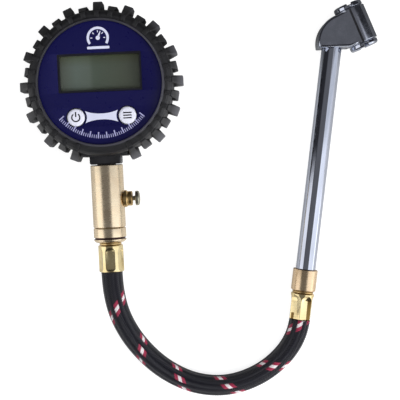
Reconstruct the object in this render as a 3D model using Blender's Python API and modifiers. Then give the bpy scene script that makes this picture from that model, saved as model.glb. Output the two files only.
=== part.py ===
"""A digital tyre pressure gauge: a dial in a tread-pattern boot, a bleed valve, a braided hose and a chuck.

Metres, +Z out of the dial. The origin is the centre of the dial, on the plane that the gauge lies on.
The stem and the hose leave the dial towards -Y, and the bleed button points to +X.
"""

import math

import bmesh
import bpy
from mathutils import Matrix, Vector

MM = 0.001
GAP = 0.3 * MM  # left between pieces that touch on the real object
FINE, SHELL, MEDIUM, COARSE, SMALL = 56, 36, 24, 16, 12  # segments around a turned piece

# The case, a 63 mm round gauge case in two shells.
CASE_RADIUS = 31.5 * MM
CASE_WALL = 1.8 * MM
CASE_SPLIT_Z = 15.5 * MM
FRONT_PLATE_TOP = 28.4 * MM
FRONT_PLATE_THICKNESS = 2.2 * MM
BACK_PLATEAU_RADIUS = 29.0 * MM
BACK_PLATEAU_Z = 0.3 * MM
BACK_RING_Z = 1.9 * MM
POST_PLACES = [(-9.0, 22.5), (9.0, 22.5), (-21.0, -12.5), (21.0, -12.5)]  # in mm

# The rubber boot around the case, shaped like an off-road tyre.
BOOT_DEPTH = 31.0 * MM
BOOT_RADIUS = 36.2 * MM
LIP_RADIUS = 30.5 * MM
LIP_THICKNESS = 1.6 * MM
LUG_PITCH = math.radians(11.25)
LONG_LUG_RADIUS = 41.0 * MM
SHORT_LUG_RADIUS = 39.0 * MM

# The dial's overlay, window and keys.
OVERLAY_RADIUS = 30.9 * MM
OVERLAY_THICKNESS = 0.4 * MM
WINDOW_SIZE = (39.4 * MM, 17.2 * MM)
WINDOW_Y = 5.1 * MM
WINDOW_BORDER = 1.0 * MM
WINDOW_REBATE_DEPTH = 1.1 * MM
KEY_RADIUS = 4.35 * MM
KEY_X = 12.75 * MM
KEY_Y = -16.7 * MM
KEY_TOP = 29.7 * MM

# The circuit board.
BOARD_RADIUS = 25.5 * MM
BOARD_Z = 18.4 * MM
BOARD_THICKNESS = 1.6 * MM
BOARD_SCREW_PLACES = [(-22.5, -6.0), (22.5, -6.0)]  # in mm

# Two AAA cells in a tray that opens at the back.
CELL_RADIUS = 5.15 * MM
CELL_LENGTH = 44.5 * MM
CELL_Z = 7.45 * MM
CELL_YS = (-1.0 * MM, 10.4 * MM)
TRAY_INSIDE = (46.6 * MM, 22.6 * MM, 12.95 * MM)  # length, width, height of its roof
TRAY_WALL = 1.4 * MM
TRAY_Y = 4.7 * MM
COVER_THICKNESS = 1.8 * MM
COVER_SCREW_Y = -9.2 * MM

# The stem, its height above the resting plane, and where its pieces start and end along -Y.
STEM_Z = 15.5 * MM
SHANK_WIDTH = 15.5 * MM
SHANK_START = 27.5 * MM
SHANK_END = 40.3 * MM
SPIGOT_RADIUS = 4.8 * MM
SPIGOT_END = 49.0 * MM
BODY_RADIUS = 8.25 * MM
BODY_START = 40.6 * MM
BODY_END = 72.35 * MM
COLLAR_END = 80.0 * MM
FERRULE_START = 81.4 * MM
FERRULE_END = 95.0 * MM
FERRULE_RADIUS = 6.35 * MM

# The bleed valve, on the +X side of the body.
BLEED_Y = -58.2 * MM

# The hose, and its route from the gauge's ferrule to the chuck's.
HOSE_RADIUS = 5.45 * MM
HOSE_POINT_SPACING = 3 * HOSE_RADIUS
HOSE_STRAIGHT_LEAD = 2.0 * MM
HOSE_ROUTE_MM = [
    (0.0, -95.3, 15.5),
    (0.03, -98.3, 15.48),
    (0.23, -102.79, 15.37),
    (0.9, -108.7, 15.0),
    (2.3, -115.5, 14.2),
    (4.8, -122.5, 12.8),
    (8.2, -129.4, 10.9),
    (12.5, -135.9, 9.0),
    (17.5, -141.9, 7.3),
    (23.3, -147.3, 6.14),
    (29.9, -151.8, 5.58),
    (37.1, -155.3, 5.46),
    (44.8, -157.4, 5.46),
    (52.7, -158.2, 5.47),
    (60.7, -157.4, 5.46),
    (68.4, -155.2, 5.46),
    (75.6, -151.8, 5.66),
    (81.7, -147.5, 6.11),
    (86.7, -142.7, 6.7),
    (90.3, -137.9, 7.3),
    (92.7, -133.55, 7.63),
    (94.11, -129.81, 7.82),
    (94.8, -127.2, 7.89),
    (95.16, -125.26, 7.9),
]

# The chuck: a straight chromed tube and a head with two ports back to back.
CHUCK_ORIGIN = Vector((117.4, 12.05, 7.9)) * MM  # where the tube's axis meets the head
CHUCK_LEAN = math.radians(9.2)
TUBE_RADIUS = 5.1 * MM
TUBE_BORE_RADIUS = 3.6 * MM
TUBE_IN_HEAD = 8.0 * MM
COUPLING_RADIUS = 6.35 * MM
COUPLING_START = 112.8 * MM
COUPLING_END = 124.0 * MM
CHUCK_FERRULE_START = 125.2 * MM
CHUCK_FERRULE_END = 138.8 * MM
CHUCK_FERRULE_RADIUS = 6.0 * MM
HEAD_CENTRE = Vector((10.97, 14.19, 0.0)) * MM  # in the chuck's frame
PORT_ANGLE = math.radians(30)
BOSS_RADIUS = 7.9 * MM
BOSS_HALF_LENGTH = 9.05 * MM
SLAB_THICKNESS = 15.2 * MM


# ---------------------------------------------------------------- scene and small tools


def clear_scene():
    for obj in list(bpy.data.objects):
        bpy.data.objects.remove(obj)


def new_collection(name):
    collection = bpy.data.collections.new(name)
    bpy.context.scene.collection.children.link(collection)
    return collection


def new_material(name, colour, roughness, metallic=0.0, transmission=0.0):
    material = bpy.data.materials.new(name)
    material.use_nodes = True
    shader = material.node_tree.nodes["Principled BSDF"]
    shader.inputs["Base Color"].default_value = (*colour, 1.0)
    shader.inputs["Roughness"].default_value = roughness
    shader.inputs["Metallic"].default_value = metallic
    shader.inputs["Transmission Weight"].default_value = transmission
    material.diffuse_color = (*colour, 1.0)
    return material


clear_scene()
PARTS = new_collection("tire_pressure_gauge")
CUTTERS = new_collection("cutters")

BLACK_RUBBER = new_material("black_rubber", (0.018, 0.018, 0.02), 0.7)
BLACK_PLASTIC = new_material("black_plastic", (0.02, 0.02, 0.022), 0.45)
NAVY_FILM = new_material("navy_film", (0.012, 0.01, 0.07), 0.35)
WHITE_PLASTIC = new_material("white_plastic", (0.78, 0.78, 0.8), 0.4)
CLEAR_PLASTIC = new_material("clear_plastic", (0.9, 0.92, 0.9), 0.05, transmission=0.9)
LCD_GLASS = new_material("lcd_glass", (0.09, 0.12, 0.1), 0.2)
MILKY_PLASTIC = new_material("milky_plastic", (0.8, 0.82, 0.78), 0.5)
BOARD_GREEN = new_material("board_green", (0.02, 0.12, 0.05), 0.5)
CELL_WRAP = new_material("cell_wrap", (0.05, 0.05, 0.06), 0.3)
STEEL = new_material("steel", (0.55, 0.55, 0.56), 0.3, metallic=1.0)
BLACK_METAL = new_material("black_metal", (0.03, 0.03, 0.032), 0.4, metallic=0.6)
BRASS = new_material("brass", (0.72, 0.55, 0.3), 0.28, metallic=1.0)
CHROME = new_material("chrome", (0.6, 0.6, 0.63), 0.08, metallic=1.0)
BRAID = new_material("hose_braid", (0.025, 0.025, 0.028), 0.8)


def linked(name, data, collection):
    obj = bpy.data.objects.new(name, data)
    collection.objects.link(obj)
    if collection is CUTTERS:
        obj.hide_render = True
        obj.display_type = "WIRE"
    return obj


def frame(name, location, rotation=None, parent=None):
    """An empty that other pieces are placed in."""
    empty = linked(name, None, PARTS)
    empty.matrix_local = Matrix.Translation(location) @ (rotation or Matrix.Identity(4))
    empty.parent = parent
    return empty


def put(obj, matrix, material=None, parent=None):
    obj.parent = parent
    obj.matrix_local = matrix
    if material:
        obj.data.materials.append(material)
    return obj


def pointing(direction, location=(0, 0, 0)):
    """The placement that takes local +Z to the direction, at the location."""
    return Matrix.Translation(location) @ Vector(direction).to_track_quat("Z", "Y").to_matrix().to_4x4()


def turned(name, outline, steps, matrix, material=None, collection=None, parent=None):
    """Turns an outline of (radius, height) about local Z. It runs from axis to axis, or is a closed loop."""
    on_axis = outline[0][0] == 0
    pairs = list(zip(outline, outline[1:] + outline[:1]))
    if sum(r0 * z1 - r1 * z0 for (r0, z0), (r1, z1) in pairs) > 0:
        outline = outline[::-1]
    count = len(outline)
    edges = [(i, i + 1) for i in range(count - 1)] + ([] if on_axis else [(count - 1, 0)])
    profile = bpy.data.meshes.new(name)
    profile.from_pydata([(r, 0, z) for r, z in outline], edges, [])
    obj = linked(name, profile, collection or PARTS)
    screw = obj.modifiers.new("turn", "SCREW")
    screw.steps = screw.render_steps = steps
    screw.use_merge_vertices = True
    screw.merge_threshold = 0.00001
    as_mesh(obj)
    obj.data.shade_smooth()
    obj.data.set_sharp_from_angle(angle=math.radians(32))
    return put(obj, matrix, material, parent)


def as_mesh(obj):
    """Replaces the object's data and modifiers with the mesh that they make."""
    graph = bpy.context.evaluated_depsgraph_get()
    made = bpy.data.meshes.new_from_object(obj.evaluated_get(graph))
    obj.modifiers.clear()
    obj.data = made


def rod(name, radius, start, end, matrix, steps=COARSE, **where):
    return turned(name, [(0, start), (radius, start), (radius, end), (0, end)], steps, matrix, **where)


def sleeve(name, inner, outer, start, end, matrix, steps=COARSE, **where):
    outline = [(inner, start), (outer, start), (outer, end), (inner, end)]
    return turned(name, outline, steps, matrix, **where)


def ring(name, radius, wire_radius, height, matrix, **where):
    """An O-ring about local Z."""
    sides = 6
    angles = [2 * math.pi * i / sides for i in range(sides)]
    outline = [(radius + wire_radius * math.cos(a), height + wire_radius * math.sin(a)) for a in angles]
    return turned(name, outline, 16, matrix, **where)


def box(name, low, high, material=None, collection=None, parent=None, bevel=0.0):
    """A box between two corners."""
    low, high = Vector(low), Vector(high)
    mesh = bpy.data.meshes.new(name)
    work = bmesh.new()
    bmesh.ops.create_cube(work, size=1)
    bmesh.ops.scale(work, vec=high - low, verts=work.verts)
    work.to_mesh(mesh)
    work.free()
    obj = linked(name, mesh, collection or PARTS)
    if bevel:
        rounding = obj.modifiers.new("edges", "BEVEL")
        rounding.width = bevel
        rounding.segments = 1
    return put(obj, Matrix.Translation((low + high) / 2), material, parent)


def slab(name, outline, thickness, matrix, material=None, collection=None, parent=None):
    """A flat piece: an outline in local XY, extruded to both sides of it."""
    curve = bpy.data.curves.new(name, "CURVE")
    curve.dimensions = "2D"
    curve.fill_mode = "BOTH"
    curve.extrude = thickness / 2
    spline = curve.splines.new("POLY")
    spline.points.add(len(outline) - 1)
    for point, (x, y) in zip(spline.points, outline):
        point.co = (x, y, 0, 1)
    spline.use_cyclic_u = True
    flat = linked(name + "_outline", curve, CUTTERS)
    graph = bpy.context.evaluated_depsgraph_get()
    mesh = bpy.data.meshes.new_from_object(flat.evaluated_get(graph))
    bpy.data.objects.remove(flat)
    work = bmesh.new()
    work.from_mesh(mesh)
    bmesh.ops.remove_doubles(work, verts=work.verts, dist=0.00001)
    work.to_mesh(mesh)
    work.free()
    return put(linked(name, mesh, collection or PARTS), matrix, material, parent)


def combine(obj, other, operation="DIFFERENCE"):
    """Joins or cuts an object with another. All that join it act at once, and then all that cut it."""
    name = f"{obj.name}_{operation.lower()}"
    operands = bpy.data.collections.get(name)
    if not operands:
        operands = bpy.data.collections.new(name)
        CUTTERS.children.link(operands)
        modifier = obj.modifiers.new(operation.lower(), "BOOLEAN")
        modifier.operation = operation
        modifier.operand_type = "COLLECTION"
        modifier.collection = operands
    CUTTERS.objects.unlink(other)
    operands.objects.link(other)


def cut_box(obj, name, low, high):
    combine(obj, box(name, low, high, collection=CUTTERS))


def cut_rod(obj, name, radius, start, end, matrix, steps=COARSE, parent=None):
    combine(obj, rod(name, radius, start, end, matrix, steps, collection=CUTTERS, parent=parent))


def around(x, y, width, depth, low_z, high_z):
    """The corners of a box around a centre in XY."""
    return (x - width / 2, y - depth / 2, low_z), (x + width / 2, y + depth / 2, high_z)


def upright(x, y):
    return Matrix.Translation((x, y, 0))


def in_metres(outline):
    """An outline whose points are given in mm."""
    return [(a * MM, b * MM) for a, b in outline]


# ---------------------------------------------------------------- the boot


def add_lug(work, crown_radius, angle):
    """One tread lug: a block that rises from each sidewall to a crown at mid-depth, and is widest there."""
    inner_radius, end_radius = 34.0 * MM, 35.9 * MM
    end_half_width, crown_half_width = 1.7 * MM, 2.7 * MM
    half_depth, crown_half_depth = 13.9 * MM, 5.5 * MM
    tip_taper = 0.86
    made = bmesh.ops.create_cube(work, size=2)["verts"]
    crown_share = crown_half_depth / half_depth
    for height in (-crown_share, crown_share):
        faces = {face for vert in made for face in vert.link_faces}
        edges = {edge for vert in made for edge in vert.link_edges}
        cut = bmesh.ops.bisect_plane(
            work, geom=made + list(edges) + list(faces), plane_co=(0, 0, height), plane_no=(0, 0, 1)
        )
        made = list({item for item in cut["geom"] if isinstance(item, bmesh.types.BMVert)})
    turn = Matrix.Rotation(angle, 4, "Z")
    for vert in made:
        at_crown = abs(vert.co.z) < 0.9
        outer = crown_radius if at_crown else end_radius
        half_width = crown_half_width if at_crown else end_half_width
        is_tip = vert.co.x > 0
        radius = outer if is_tip else inner_radius
        across = vert.co.y * half_width * (tip_taper if is_tip else 1)
        height = BOOT_DEPTH / 2 + vert.co.z * half_depth
        vert.co = turn @ Vector((radius, across, height))


def make_lugs():
    """Long and short lugs in turn. Three places at the neck stay free."""
    work = bmesh.new()
    count = round(2 * math.pi / LUG_PITCH)
    for place in range(2, count - 1):
        crown = LONG_LUG_RADIUS if place % 2 == 0 else SHORT_LUG_RADIUS
        add_lug(work, crown, place * LUG_PITCH - math.pi / 2)
    mesh = bpy.data.meshes.new("tread_lugs")
    work.to_mesh(mesh)
    work.free()
    return linked("tread_lugs", mesh, CUTTERS)


def make_boot():
    """The carcass is turned, with a lip over the dial's edge and another behind the case."""
    cavity = CASE_RADIUS + GAP
    back_opening = BACK_PLATEAU_RADIUS + GAP
    lip_under = BOOT_DEPTH - LIP_THICKNESS
    shoulder = [(3.0, 0.0), (1.3, 0.8), (0.3, 2.4), (0.0, 4.5)]  # inset and depth, in mm
    front = [(BOOT_RADIUS - i * MM, BOOT_DEPTH - d * MM) for i, d in shoulder]
    back = [(BOOT_RADIUS - i * MM, d * MM) for i, d in reversed(shoulder)]
    outline = [(LIP_RADIUS, BOOT_DEPTH - 0.7 * MM), (LIP_RADIUS + 0.7 * MM, BOOT_DEPTH)]
    outline += front + back
    outline += [(back_opening, 0), (back_opening, LIP_THICKNESS), (cavity, LIP_THICKNESS)]
    outline += [(cavity, lip_under), (LIP_RADIUS, lip_under)]
    boot = turned("tread_boot", outline, FINE, Matrix.Identity(4), BLACK_RUBBER)
    combine(boot, make_lugs(), "UNION")
    pad = (-11.5 * MM, -36.4 * MM, 6 * MM), (11.5 * MM, -33 * MM, 25 * MM)
    combine(boot, box("neck_pad", *pad, collection=CUTTERS), "UNION")
    half = SHANK_WIDTH / 2 + GAP
    cut_box(boot, "boot_neck", (-half, -45 * MM, STEM_Z - half), (half, -30 * MM, STEM_Z + half))


# ---------------------------------------------------------------- the case


def cut_neck(shell):
    half = SHANK_WIDTH / 2 + GAP
    low, high = (-half, -36 * MM, STEM_Z - half), (half, -27 * MM, STEM_Z + half)
    cut_box(shell, shell.name + "_neck", low, high)


def make_case_back():
    ring_inside, plateau_inside = 3.7 * MM, 2.3 * MM
    step_radius = 27.4 * MM
    wall_inside = CASE_RADIUS - CASE_WALL
    top = CASE_SPLIT_Z - GAP / 2
    outline = [(0, BACK_PLATEAU_Z), (BACK_PLATEAU_RADIUS, BACK_PLATEAU_Z)]
    outline += [(BACK_PLATEAU_RADIUS, BACK_RING_Z), (CASE_RADIUS, BACK_RING_Z), (CASE_RADIUS, top)]
    outline += [(wall_inside, top), (wall_inside, ring_inside), (step_radius, ring_inside)]
    outline += [(step_radius, plateau_inside)]
    outline += [(0, plateau_inside)]
    shell = turned("case_back", outline, SHELL, Matrix.Identity(4), BLACK_PLASTIC)

    length, width, roof = TRAY_INSIDE
    walls = around(0, TRAY_Y, length + 2 * TRAY_WALL, width + 2 * TRAY_WALL, 2 * MM, roof + TRAY_WALL)
    combine(shell, box("tray_walls", *walls, collection=CUTTERS), "UNION")
    tab_pad = around(0, COVER_SCREW_Y, 11 * MM, 7.4 * MM, 1 * MM, 6 * MM)
    combine(shell, box("tab_pad", *tab_pad, collection=CUTTERS), "UNION")
    for index, (x, y) in enumerate(POST_PLACES, 1):
        place = upright(x * MM, y * MM)
        post = rod(f"back_post_{index}", 3.4 * MM, 1 * MM, top, place, SMALL, collection=CUTTERS)
        combine(shell, post, "UNION")

    cut_box(shell, "tray_inside", *around(0, TRAY_Y, length, width, -1 * MM, roof))
    recess = around(0, COVER_SCREW_Y + 1 * MM, 9.6 * MM, 8 * MM, -1 * MM, COVER_THICKNESS + GAP)
    cut_box(shell, "tab_recess", *recess)
    cut_rod(shell, "tab_hole", 1.35 * MM, 1 * MM, 5.2 * MM, upright(0, COVER_SCREW_Y), SMALL)
    for index, (x, y) in enumerate(POST_PLACES, 1):
        place = upright(x * MM, y * MM)
        cut_rod(shell, f"back_hole_{index}", 1.55 * MM, -1 * MM, top + 1 * MM, place, SMALL)
        cut_rod(shell, f"back_counterbore_{index}", 2.5 * MM, -1 * MM, 3.2 * MM, place, SMALL)
    cut_neck(shell)


def make_case_front():
    """The front shell, with the window's rebate, the key holes and the screw posts."""
    wall_inside = CASE_RADIUS - CASE_WALL
    bottom = CASE_SPLIT_Z + GAP / 2
    plate_under = FRONT_PLATE_TOP - FRONT_PLATE_THICKNESS
    outline = [(0, FRONT_PLATE_TOP), (CASE_RADIUS - 0.5 * MM, FRONT_PLATE_TOP)]
    outline += [(CASE_RADIUS, FRONT_PLATE_TOP - 0.5 * MM), (CASE_RADIUS, bottom)]
    outline += [(wall_inside, bottom), (wall_inside, plate_under), (0, plate_under)]
    shell = turned("case_front", outline, SHELL, Matrix.Identity(4), BLACK_PLASTIC)

    post_start = plate_under + 1 * MM
    for index, (x, y) in enumerate(POST_PLACES, 1):
        place = upright(x * MM, y * MM)
        post = rod(f"front_post_{index}", 2.5 * MM, bottom, post_start, place, SMALL, collection=CUTTERS)
        combine(shell, post, "UNION")
        cut_rod(shell, f"front_hole_{index}", 1.55 * MM, bottom - 1 * MM, 22 * MM, place, SMALL)
    board_top = BOARD_Z + BOARD_THICKNESS + GAP
    for index, (x, y) in enumerate(BOARD_SCREW_PLACES, 1):
        place = upright(x * MM, y * MM)
        post = rod(f"board_post_{index}", 2.3 * MM, board_top, post_start, place, SMALL, collection=CUTTERS)
        combine(shell, post, "UNION")
        cut_rod(shell, f"board_post_hole_{index}", 1.4 * MM, board_top - 1 * MM, 24.5 * MM, place, SMALL)

    width, height = WINDOW_SIZE
    cut_box(shell, "window_hole", *around(0, WINDOW_Y, width, height, 20 * MM, 30 * MM))
    rebate_top = FRONT_PLATE_TOP - WINDOW_REBATE_DEPTH
    rebate = around(0, WINDOW_Y, width + 2.4 * MM, height + 2.4 * MM, 20 * MM, rebate_top)
    cut_box(shell, "window_rebate", *rebate)
    for side in (-1, 1):
        place = upright(side * KEY_X, KEY_Y)
        cut_rod(shell, f"key_hole_{side}", KEY_RADIUS + GAP, 20 * MM, 30 * MM, place, MEDIUM)
    cut_neck(shell)


def make_case_screws():
    """Four long screws from the back hold the shells together."""
    outline = [(0, 0.9), (1.5, 0.9), (2.1, 1.3), (2.1, 2.9), (1.25, 2.9), (1.25, 20.4)]
    outline = in_metres([*outline, (0.6, 21.4), (0, 21.4)])
    for index, (x, y) in enumerate(POST_PLACES, 1):
        place = upright(x * MM, y * MM)
        screw = turned(f"case_screw_{index}", outline, SMALL, place, STEEL)
        cut_cross(screw, x * MM, y * MM, 1.5 * MM)


def cut_cross(screw, x, y, top):
    """A cross recess in a screw head that looks down."""
    long, narrow = 2.4 * MM, 0.6 * MM
    cut_box(screw, screw.name + "_slot_x", *around(x, y, long, narrow, -1 * MM, top))
    cut_box(screw, screw.name + "_slot_y", *around(x, y, narrow, long, -1 * MM, top))


def make_battery_cover():
    length, width, _ = TRAY_INSIDE
    plate = around(0, TRAY_Y, length - 2 * GAP, width - 2 * GAP, 0, COVER_THICKNESS)
    cover = box("battery_cover", *plate, material=BLACK_PLASTIC)
    tab = around(0, COVER_SCREW_Y + 1.3 * MM, 9 * MM, 8 * MM, 0, COVER_THICKNESS)
    combine(cover, box("cover_tab", *tab, collection=CUTTERS), "UNION")
    place = upright(0, COVER_SCREW_Y)
    cut_rod(cover, "cover_hole", 1.4 * MM, -1 * MM, 3 * MM, place, COARSE)
    cut_rod(cover, "cover_counterbore", 2.4 * MM, -1 * MM, 0.9 * MM, place, COARSE)

    outline = in_metres([(0, 0.15), (2.0, 0.15), (2.0, 0.7), (1.05, 0.7), (1.05, 4.4), (0.5, 5.0), (0, 5.0)])
    screw = turned("battery_cover_screw", outline, SMALL, place, STEEL)
    cut_box(screw, "cover_screw_slot", *around(0, COVER_SCREW_Y, 5 * MM, 0.6 * MM, -1 * MM, 0.45 * MM))


# ---------------------------------------------------------------- the dial and the electronics


def make_overlay():
    bottom = FRONT_PLATE_TOP + GAP
    top = bottom + OVERLAY_THICKNESS
    flat = Matrix.Identity(4)
    overlay = rod("face_overlay", OVERLAY_RADIUS, bottom, top, flat, SHELL, material=NAVY_FILM)
    width, height = (side + 2 * WINDOW_BORDER for side in WINDOW_SIZE)
    cut_box(overlay, "overlay_window", *around(0, WINDOW_Y, width, height, 27 * MM, 31 * MM))
    for side in (-1, 1):
        place = upright(side * KEY_X, KEY_Y)
        cut_rod(overlay, f"overlay_key_{side}", KEY_RADIUS + 0.5 * MM, 27 * MM, 31 * MM, place, MEDIUM)


def make_display():
    width, height = WINDOW_SIZE
    pane_top = FRONT_PLATE_TOP - WINDOW_REBATE_DEPTH - GAP
    pane_under = pane_top - 0.9 * MM
    pane = around(0, WINDOW_Y, width + 1.8 * MM, height + 1.8 * MM, pane_under, pane_top)
    box("lcd_window", *pane, material=CLEAR_PLASTIC)
    panel_top = pane_under - GAP
    panel_under = panel_top - 2.4 * MM
    box("lcd_panel", *around(0, WINDOW_Y, 40 * MM, 18 * MM, panel_under, panel_top), material=LCD_GLASS)
    light_top = panel_under - GAP
    light = around(0, WINDOW_Y, 39 * MM, 11.5 * MM, light_top - 1.7 * MM, light_top)
    box("backlight_plate", *light, material=MILKY_PLASTIC)
    strip_bottom = BOARD_Z + BOARD_THICKNESS + GAP
    for name, side in (("zebra_strip_upper", 1), ("zebra_strip_lower", -1)):
        strip = around(0, WINDOW_Y + side * 7.9 * MM, 38 * MM, 1.8 * MM, strip_bottom, light_top)
        box(name, *strip, material=BLACK_RUBBER)


def make_board():
    top = BOARD_Z + BOARD_THICKNESS
    flat = Matrix.Identity(4)
    board = rod("circuit_board", BOARD_RADIUS, BOARD_Z, top, flat, SHELL, material=BOARD_GREEN)
    for index, (x, y) in enumerate(POST_PLACES, 1):
        cut_rod(board, f"board_notch_{index}", 2.9 * MM, 15 * MM, 25 * MM, upright(x * MM, y * MM), SMALL)
    outline = [(0, 16.7), (1.9, 16.7), (1.9, 18.1), (1.1, 18.1), (1.1, 23.2), (0.5, 23.8), (0, 23.8)]
    outline = in_metres(outline)
    for index, (x, y) in enumerate(BOARD_SCREW_PLACES, 1):
        place = upright(x * MM, y * MM)
        cut_rod(board, f"board_hole_{index}", 1.4 * MM, 15 * MM, 25 * MM, place, SMALL)
        screw = turned(f"board_screw_{index}", outline, SMALL, place, STEEL)
        cut_cross(screw, x * MM, y * MM, 17.3 * MM)


def make_key(name, x):
    """A key cap, with the plunger of the tact switch that it presses. Both move along Z."""
    place = upright(x, KEY_Y)
    flange_top = FRONT_PLATE_TOP - FRONT_PLATE_THICKNESS - GAP
    outline = [(0, KEY_TOP), (3.4 * MM, KEY_TOP - 0.05 * MM), (4.0 * MM, KEY_TOP - 0.25 * MM)]
    flange_radius, flange_under = 5.2 * MM, flange_top - 0.9 * MM
    peg_radius, peg_end = 1.8 * MM, 24.5 * MM
    outline += [(KEY_RADIUS, KEY_TOP - 0.7 * MM), (KEY_RADIUS, flange_top), (flange_radius, flange_top)]
    outline += [(flange_radius, flange_under), (peg_radius, flange_under), (peg_radius, peg_end), (0, peg_end)]
    turned(f"key_{name}", outline, COARSE, place, WHITE_PLASTIC)
    rod(f"switch_plunger_{name}", 1.5 * MM, 22.0 * MM, 24.2 * MM, place, COARSE, material=BLACK_PLASTIC)
    body_bottom = BOARD_Z + BOARD_THICKNESS + GAP
    body = around(x, KEY_Y, 6 * MM, 6 * MM, body_bottom, body_bottom + 2.6 * MM)
    switch = box(f"switch_body_{name}", *body, material=BLACK_METAL)
    cut_rod(switch, f"switch_hole_{name}", 1.9 * MM, 21.3 * MM, 25 * MM, place, COARSE)


def make_batteries():
    """Two cells that lie side by side, head to tail, with a link at one end and two contacts at the other."""
    half = CELL_LENGTH / 2
    nub = 1.0 * MM
    outline = [(0, -half), (CELL_RADIUS - 0.4 * MM, -half), (CELL_RADIUS, -half + 0.4 * MM)]
    outline += [(CELL_RADIUS, half - nub - 0.5 * MM), (CELL_RADIUS - 0.5 * MM, half - nub)]
    outline += [(1.9 * MM, half - nub), (1.9 * MM, half), (0, half)]
    for index, (y, heading) in enumerate(zip(CELL_YS, (1, -1)), 1):
        turned(f"battery_{index}", outline, COARSE, pointing((heading, 0, 0), (0, y, CELL_Z)), CELL_WRAP)
    near, far = half + GAP, half + GAP + 0.4 * MM
    low_z, high_z = CELL_Z - 4 * MM, CELL_Z + 4 * MM
    reach = 4.2 * MM
    link = (near, CELL_YS[0] - reach, low_z), (far, CELL_YS[1] + reach, high_z)
    box("battery_link", *link, material=STEEL)
    for name, y in zip(("battery_contact_minus", "battery_contact_plus"), CELL_YS):
        box(name, (-far, y - reach, low_z), (-near, y + reach, high_z), material=STEEL)


# ---------------------------------------------------------------- the stem and the bleed valve


def stem_frame():
    """Local +Z runs down the stem, away from the dial."""
    return pointing((0, -1, 0), (0, 0, STEM_Z))


def make_socket():
    """The square shank that holds the pressure sensor, and whose spigot screws into the valve body."""
    half = SHANK_WIDTH / 2
    low, high = (-half, -SHANK_END, STEM_Z - half), (half, -SHANK_START, STEM_Z + half)
    shank = box("gauge_socket", low, high, material=BLACK_METAL, bevel=0.6 * MM)
    spigot = rod("socket_spigot", SPIGOT_RADIUS, 35 * MM, SPIGOT_END, stem_frame(), collection=CUTTERS)
    combine(shank, spigot, "UNION")
    cut_rod(shank, "socket_bore", 1.5 * MM, 25 * MM, 55 * MM, stem_frame(), SMALL)
    cut_rod(shank, "sensor_recess", 5.3 * MM, 25 * MM, 33 * MM, stem_frame(), MEDIUM)
    outline = [(0, 27.0), (4.2, 27.0), (5.0, 27.6), (5.0, 31.4), (3.4, 31.4), (3.4, 31.9), (0, 31.9)]
    turned("pressure_sensor", in_metres(outline), COARSE, stem_frame(), STEEL)
    ring("sensor_seal", 4.3 * MM, 0.4 * MM, 32.2 * MM, stem_frame(), material=BLACK_RUBBER)
    ring("socket_seal", 3.9 * MM, 0.5 * MM, 49.8 * MM, stem_frame(), material=BLACK_RUBBER)
    ribbon = [(-26.7, 14.5), (-23.2, 14.5), (-23.2, 18.1), (-23.6, 18.1), (-23.6, 14.9), (-26.7, 14.9)]
    across = Matrix(((0, 0, 1, 0), (1, 0, 0, 0), (0, 1, 0, 0), (0, 0, 0, 1)))
    slab("sensor_ribbon", in_metres(ribbon), 5 * MM, across, CELL_WRAP)


def bleed_frame():
    return pointing((1, 0, 0), (0, BLEED_Y, STEM_Z))


def make_valve_body():
    passage, socket_bore = 2.0 * MM, SPIGOT_RADIUS + GAP
    chamfer = 0.4 * MM
    seat, recess = 67.3 * MM, 6.5 * MM
    outline = [(socket_bore, BODY_START), (BODY_RADIUS - chamfer, BODY_START)]
    outline += [(BODY_RADIUS, BODY_START + chamfer), (BODY_RADIUS, BODY_END - 0.3 * MM)]
    outline += [(BODY_RADIUS - 0.3 * MM, BODY_END), (recess, BODY_END), (recess, seat), (passage, seat)]
    outline += [(passage, 50.6 * MM), (socket_bore, 50.6 * MM)]
    body = turned("valve_body", outline, MEDIUM, stem_frame(), BRASS)
    cut_rod(body, "bleed_bore", 2.9 * MM, -5.6 * MM, 9 * MM, bleed_frame())
    cut_rod(body, "bleed_thread", 3.5 * MM, 4.7 * MM, 10 * MM, bleed_frame(), COARSE)


def make_bleed_valve():
    """A screwed bush, and a mushroom button whose seal a spring holds shut against the bush."""
    bush = [(1.45, 5.0), (3.2, 5.0), (3.2, 8.55), (4.3, 8.55), (4.3, 9.5), (3.75, 9.8), (3.75, 10.6)]
    bush += [(3.45, 10.8), (3.65, 11.0), (3.6, 12.1), (3.2, 12.4), (1.45, 12.4)]
    turned("bleed_bush", in_metres(bush), COARSE, bleed_frame(), BRASS)
    button = [(0, 2.6), (2.3, 2.6), (2.3, 3.6), (1.15, 3.6), (1.15, 13.9), (3.3, 13.9), (3.75, 14.3)]
    button += [(3.7, 14.9), (2.8, 15.5), (1.5, 15.75), (0, 15.8)]
    turned("bleed_button", in_metres(button), COARSE, bleed_frame(), BRASS)
    ring("bleed_seal", 1.9 * MM, 0.42 * MM, 4.35 * MM, bleed_frame(), material=BLACK_RUBBER)
    coil_spring("bleed_spring", 2.0 * MM, 0.25 * MM, -5.2 * MM, 2.3 * MM, 4, bleed_frame())


def coil_spring(name, radius, wire_radius, start, end, turns, matrix, parent=None):
    """A spring about local Z. Its wire's outside lies between the two heights."""
    points_a_turn = 8
    count = turns * points_a_turn
    low, high = start + wire_radius, end - wire_radius
    curve = bpy.data.curves.new(name, "CURVE")
    curve.dimensions = "3D"
    curve.bevel_depth = wire_radius
    curve.bevel_resolution = 2
    curve.use_fill_caps = True
    wire = curve.splines.new("POLY")
    wire.points.add(count)
    for index, point in enumerate(wire.points):
        angle = 2 * math.pi * index / points_a_turn
        height = low + (high - low) * index / count
        point.co = (radius * math.cos(angle), radius * math.sin(angle), height, 1)
    return put(linked(name, curve, PARTS), matrix, STEEL, parent)


# ---------------------------------------------------------------- the swivel and the hose


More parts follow.
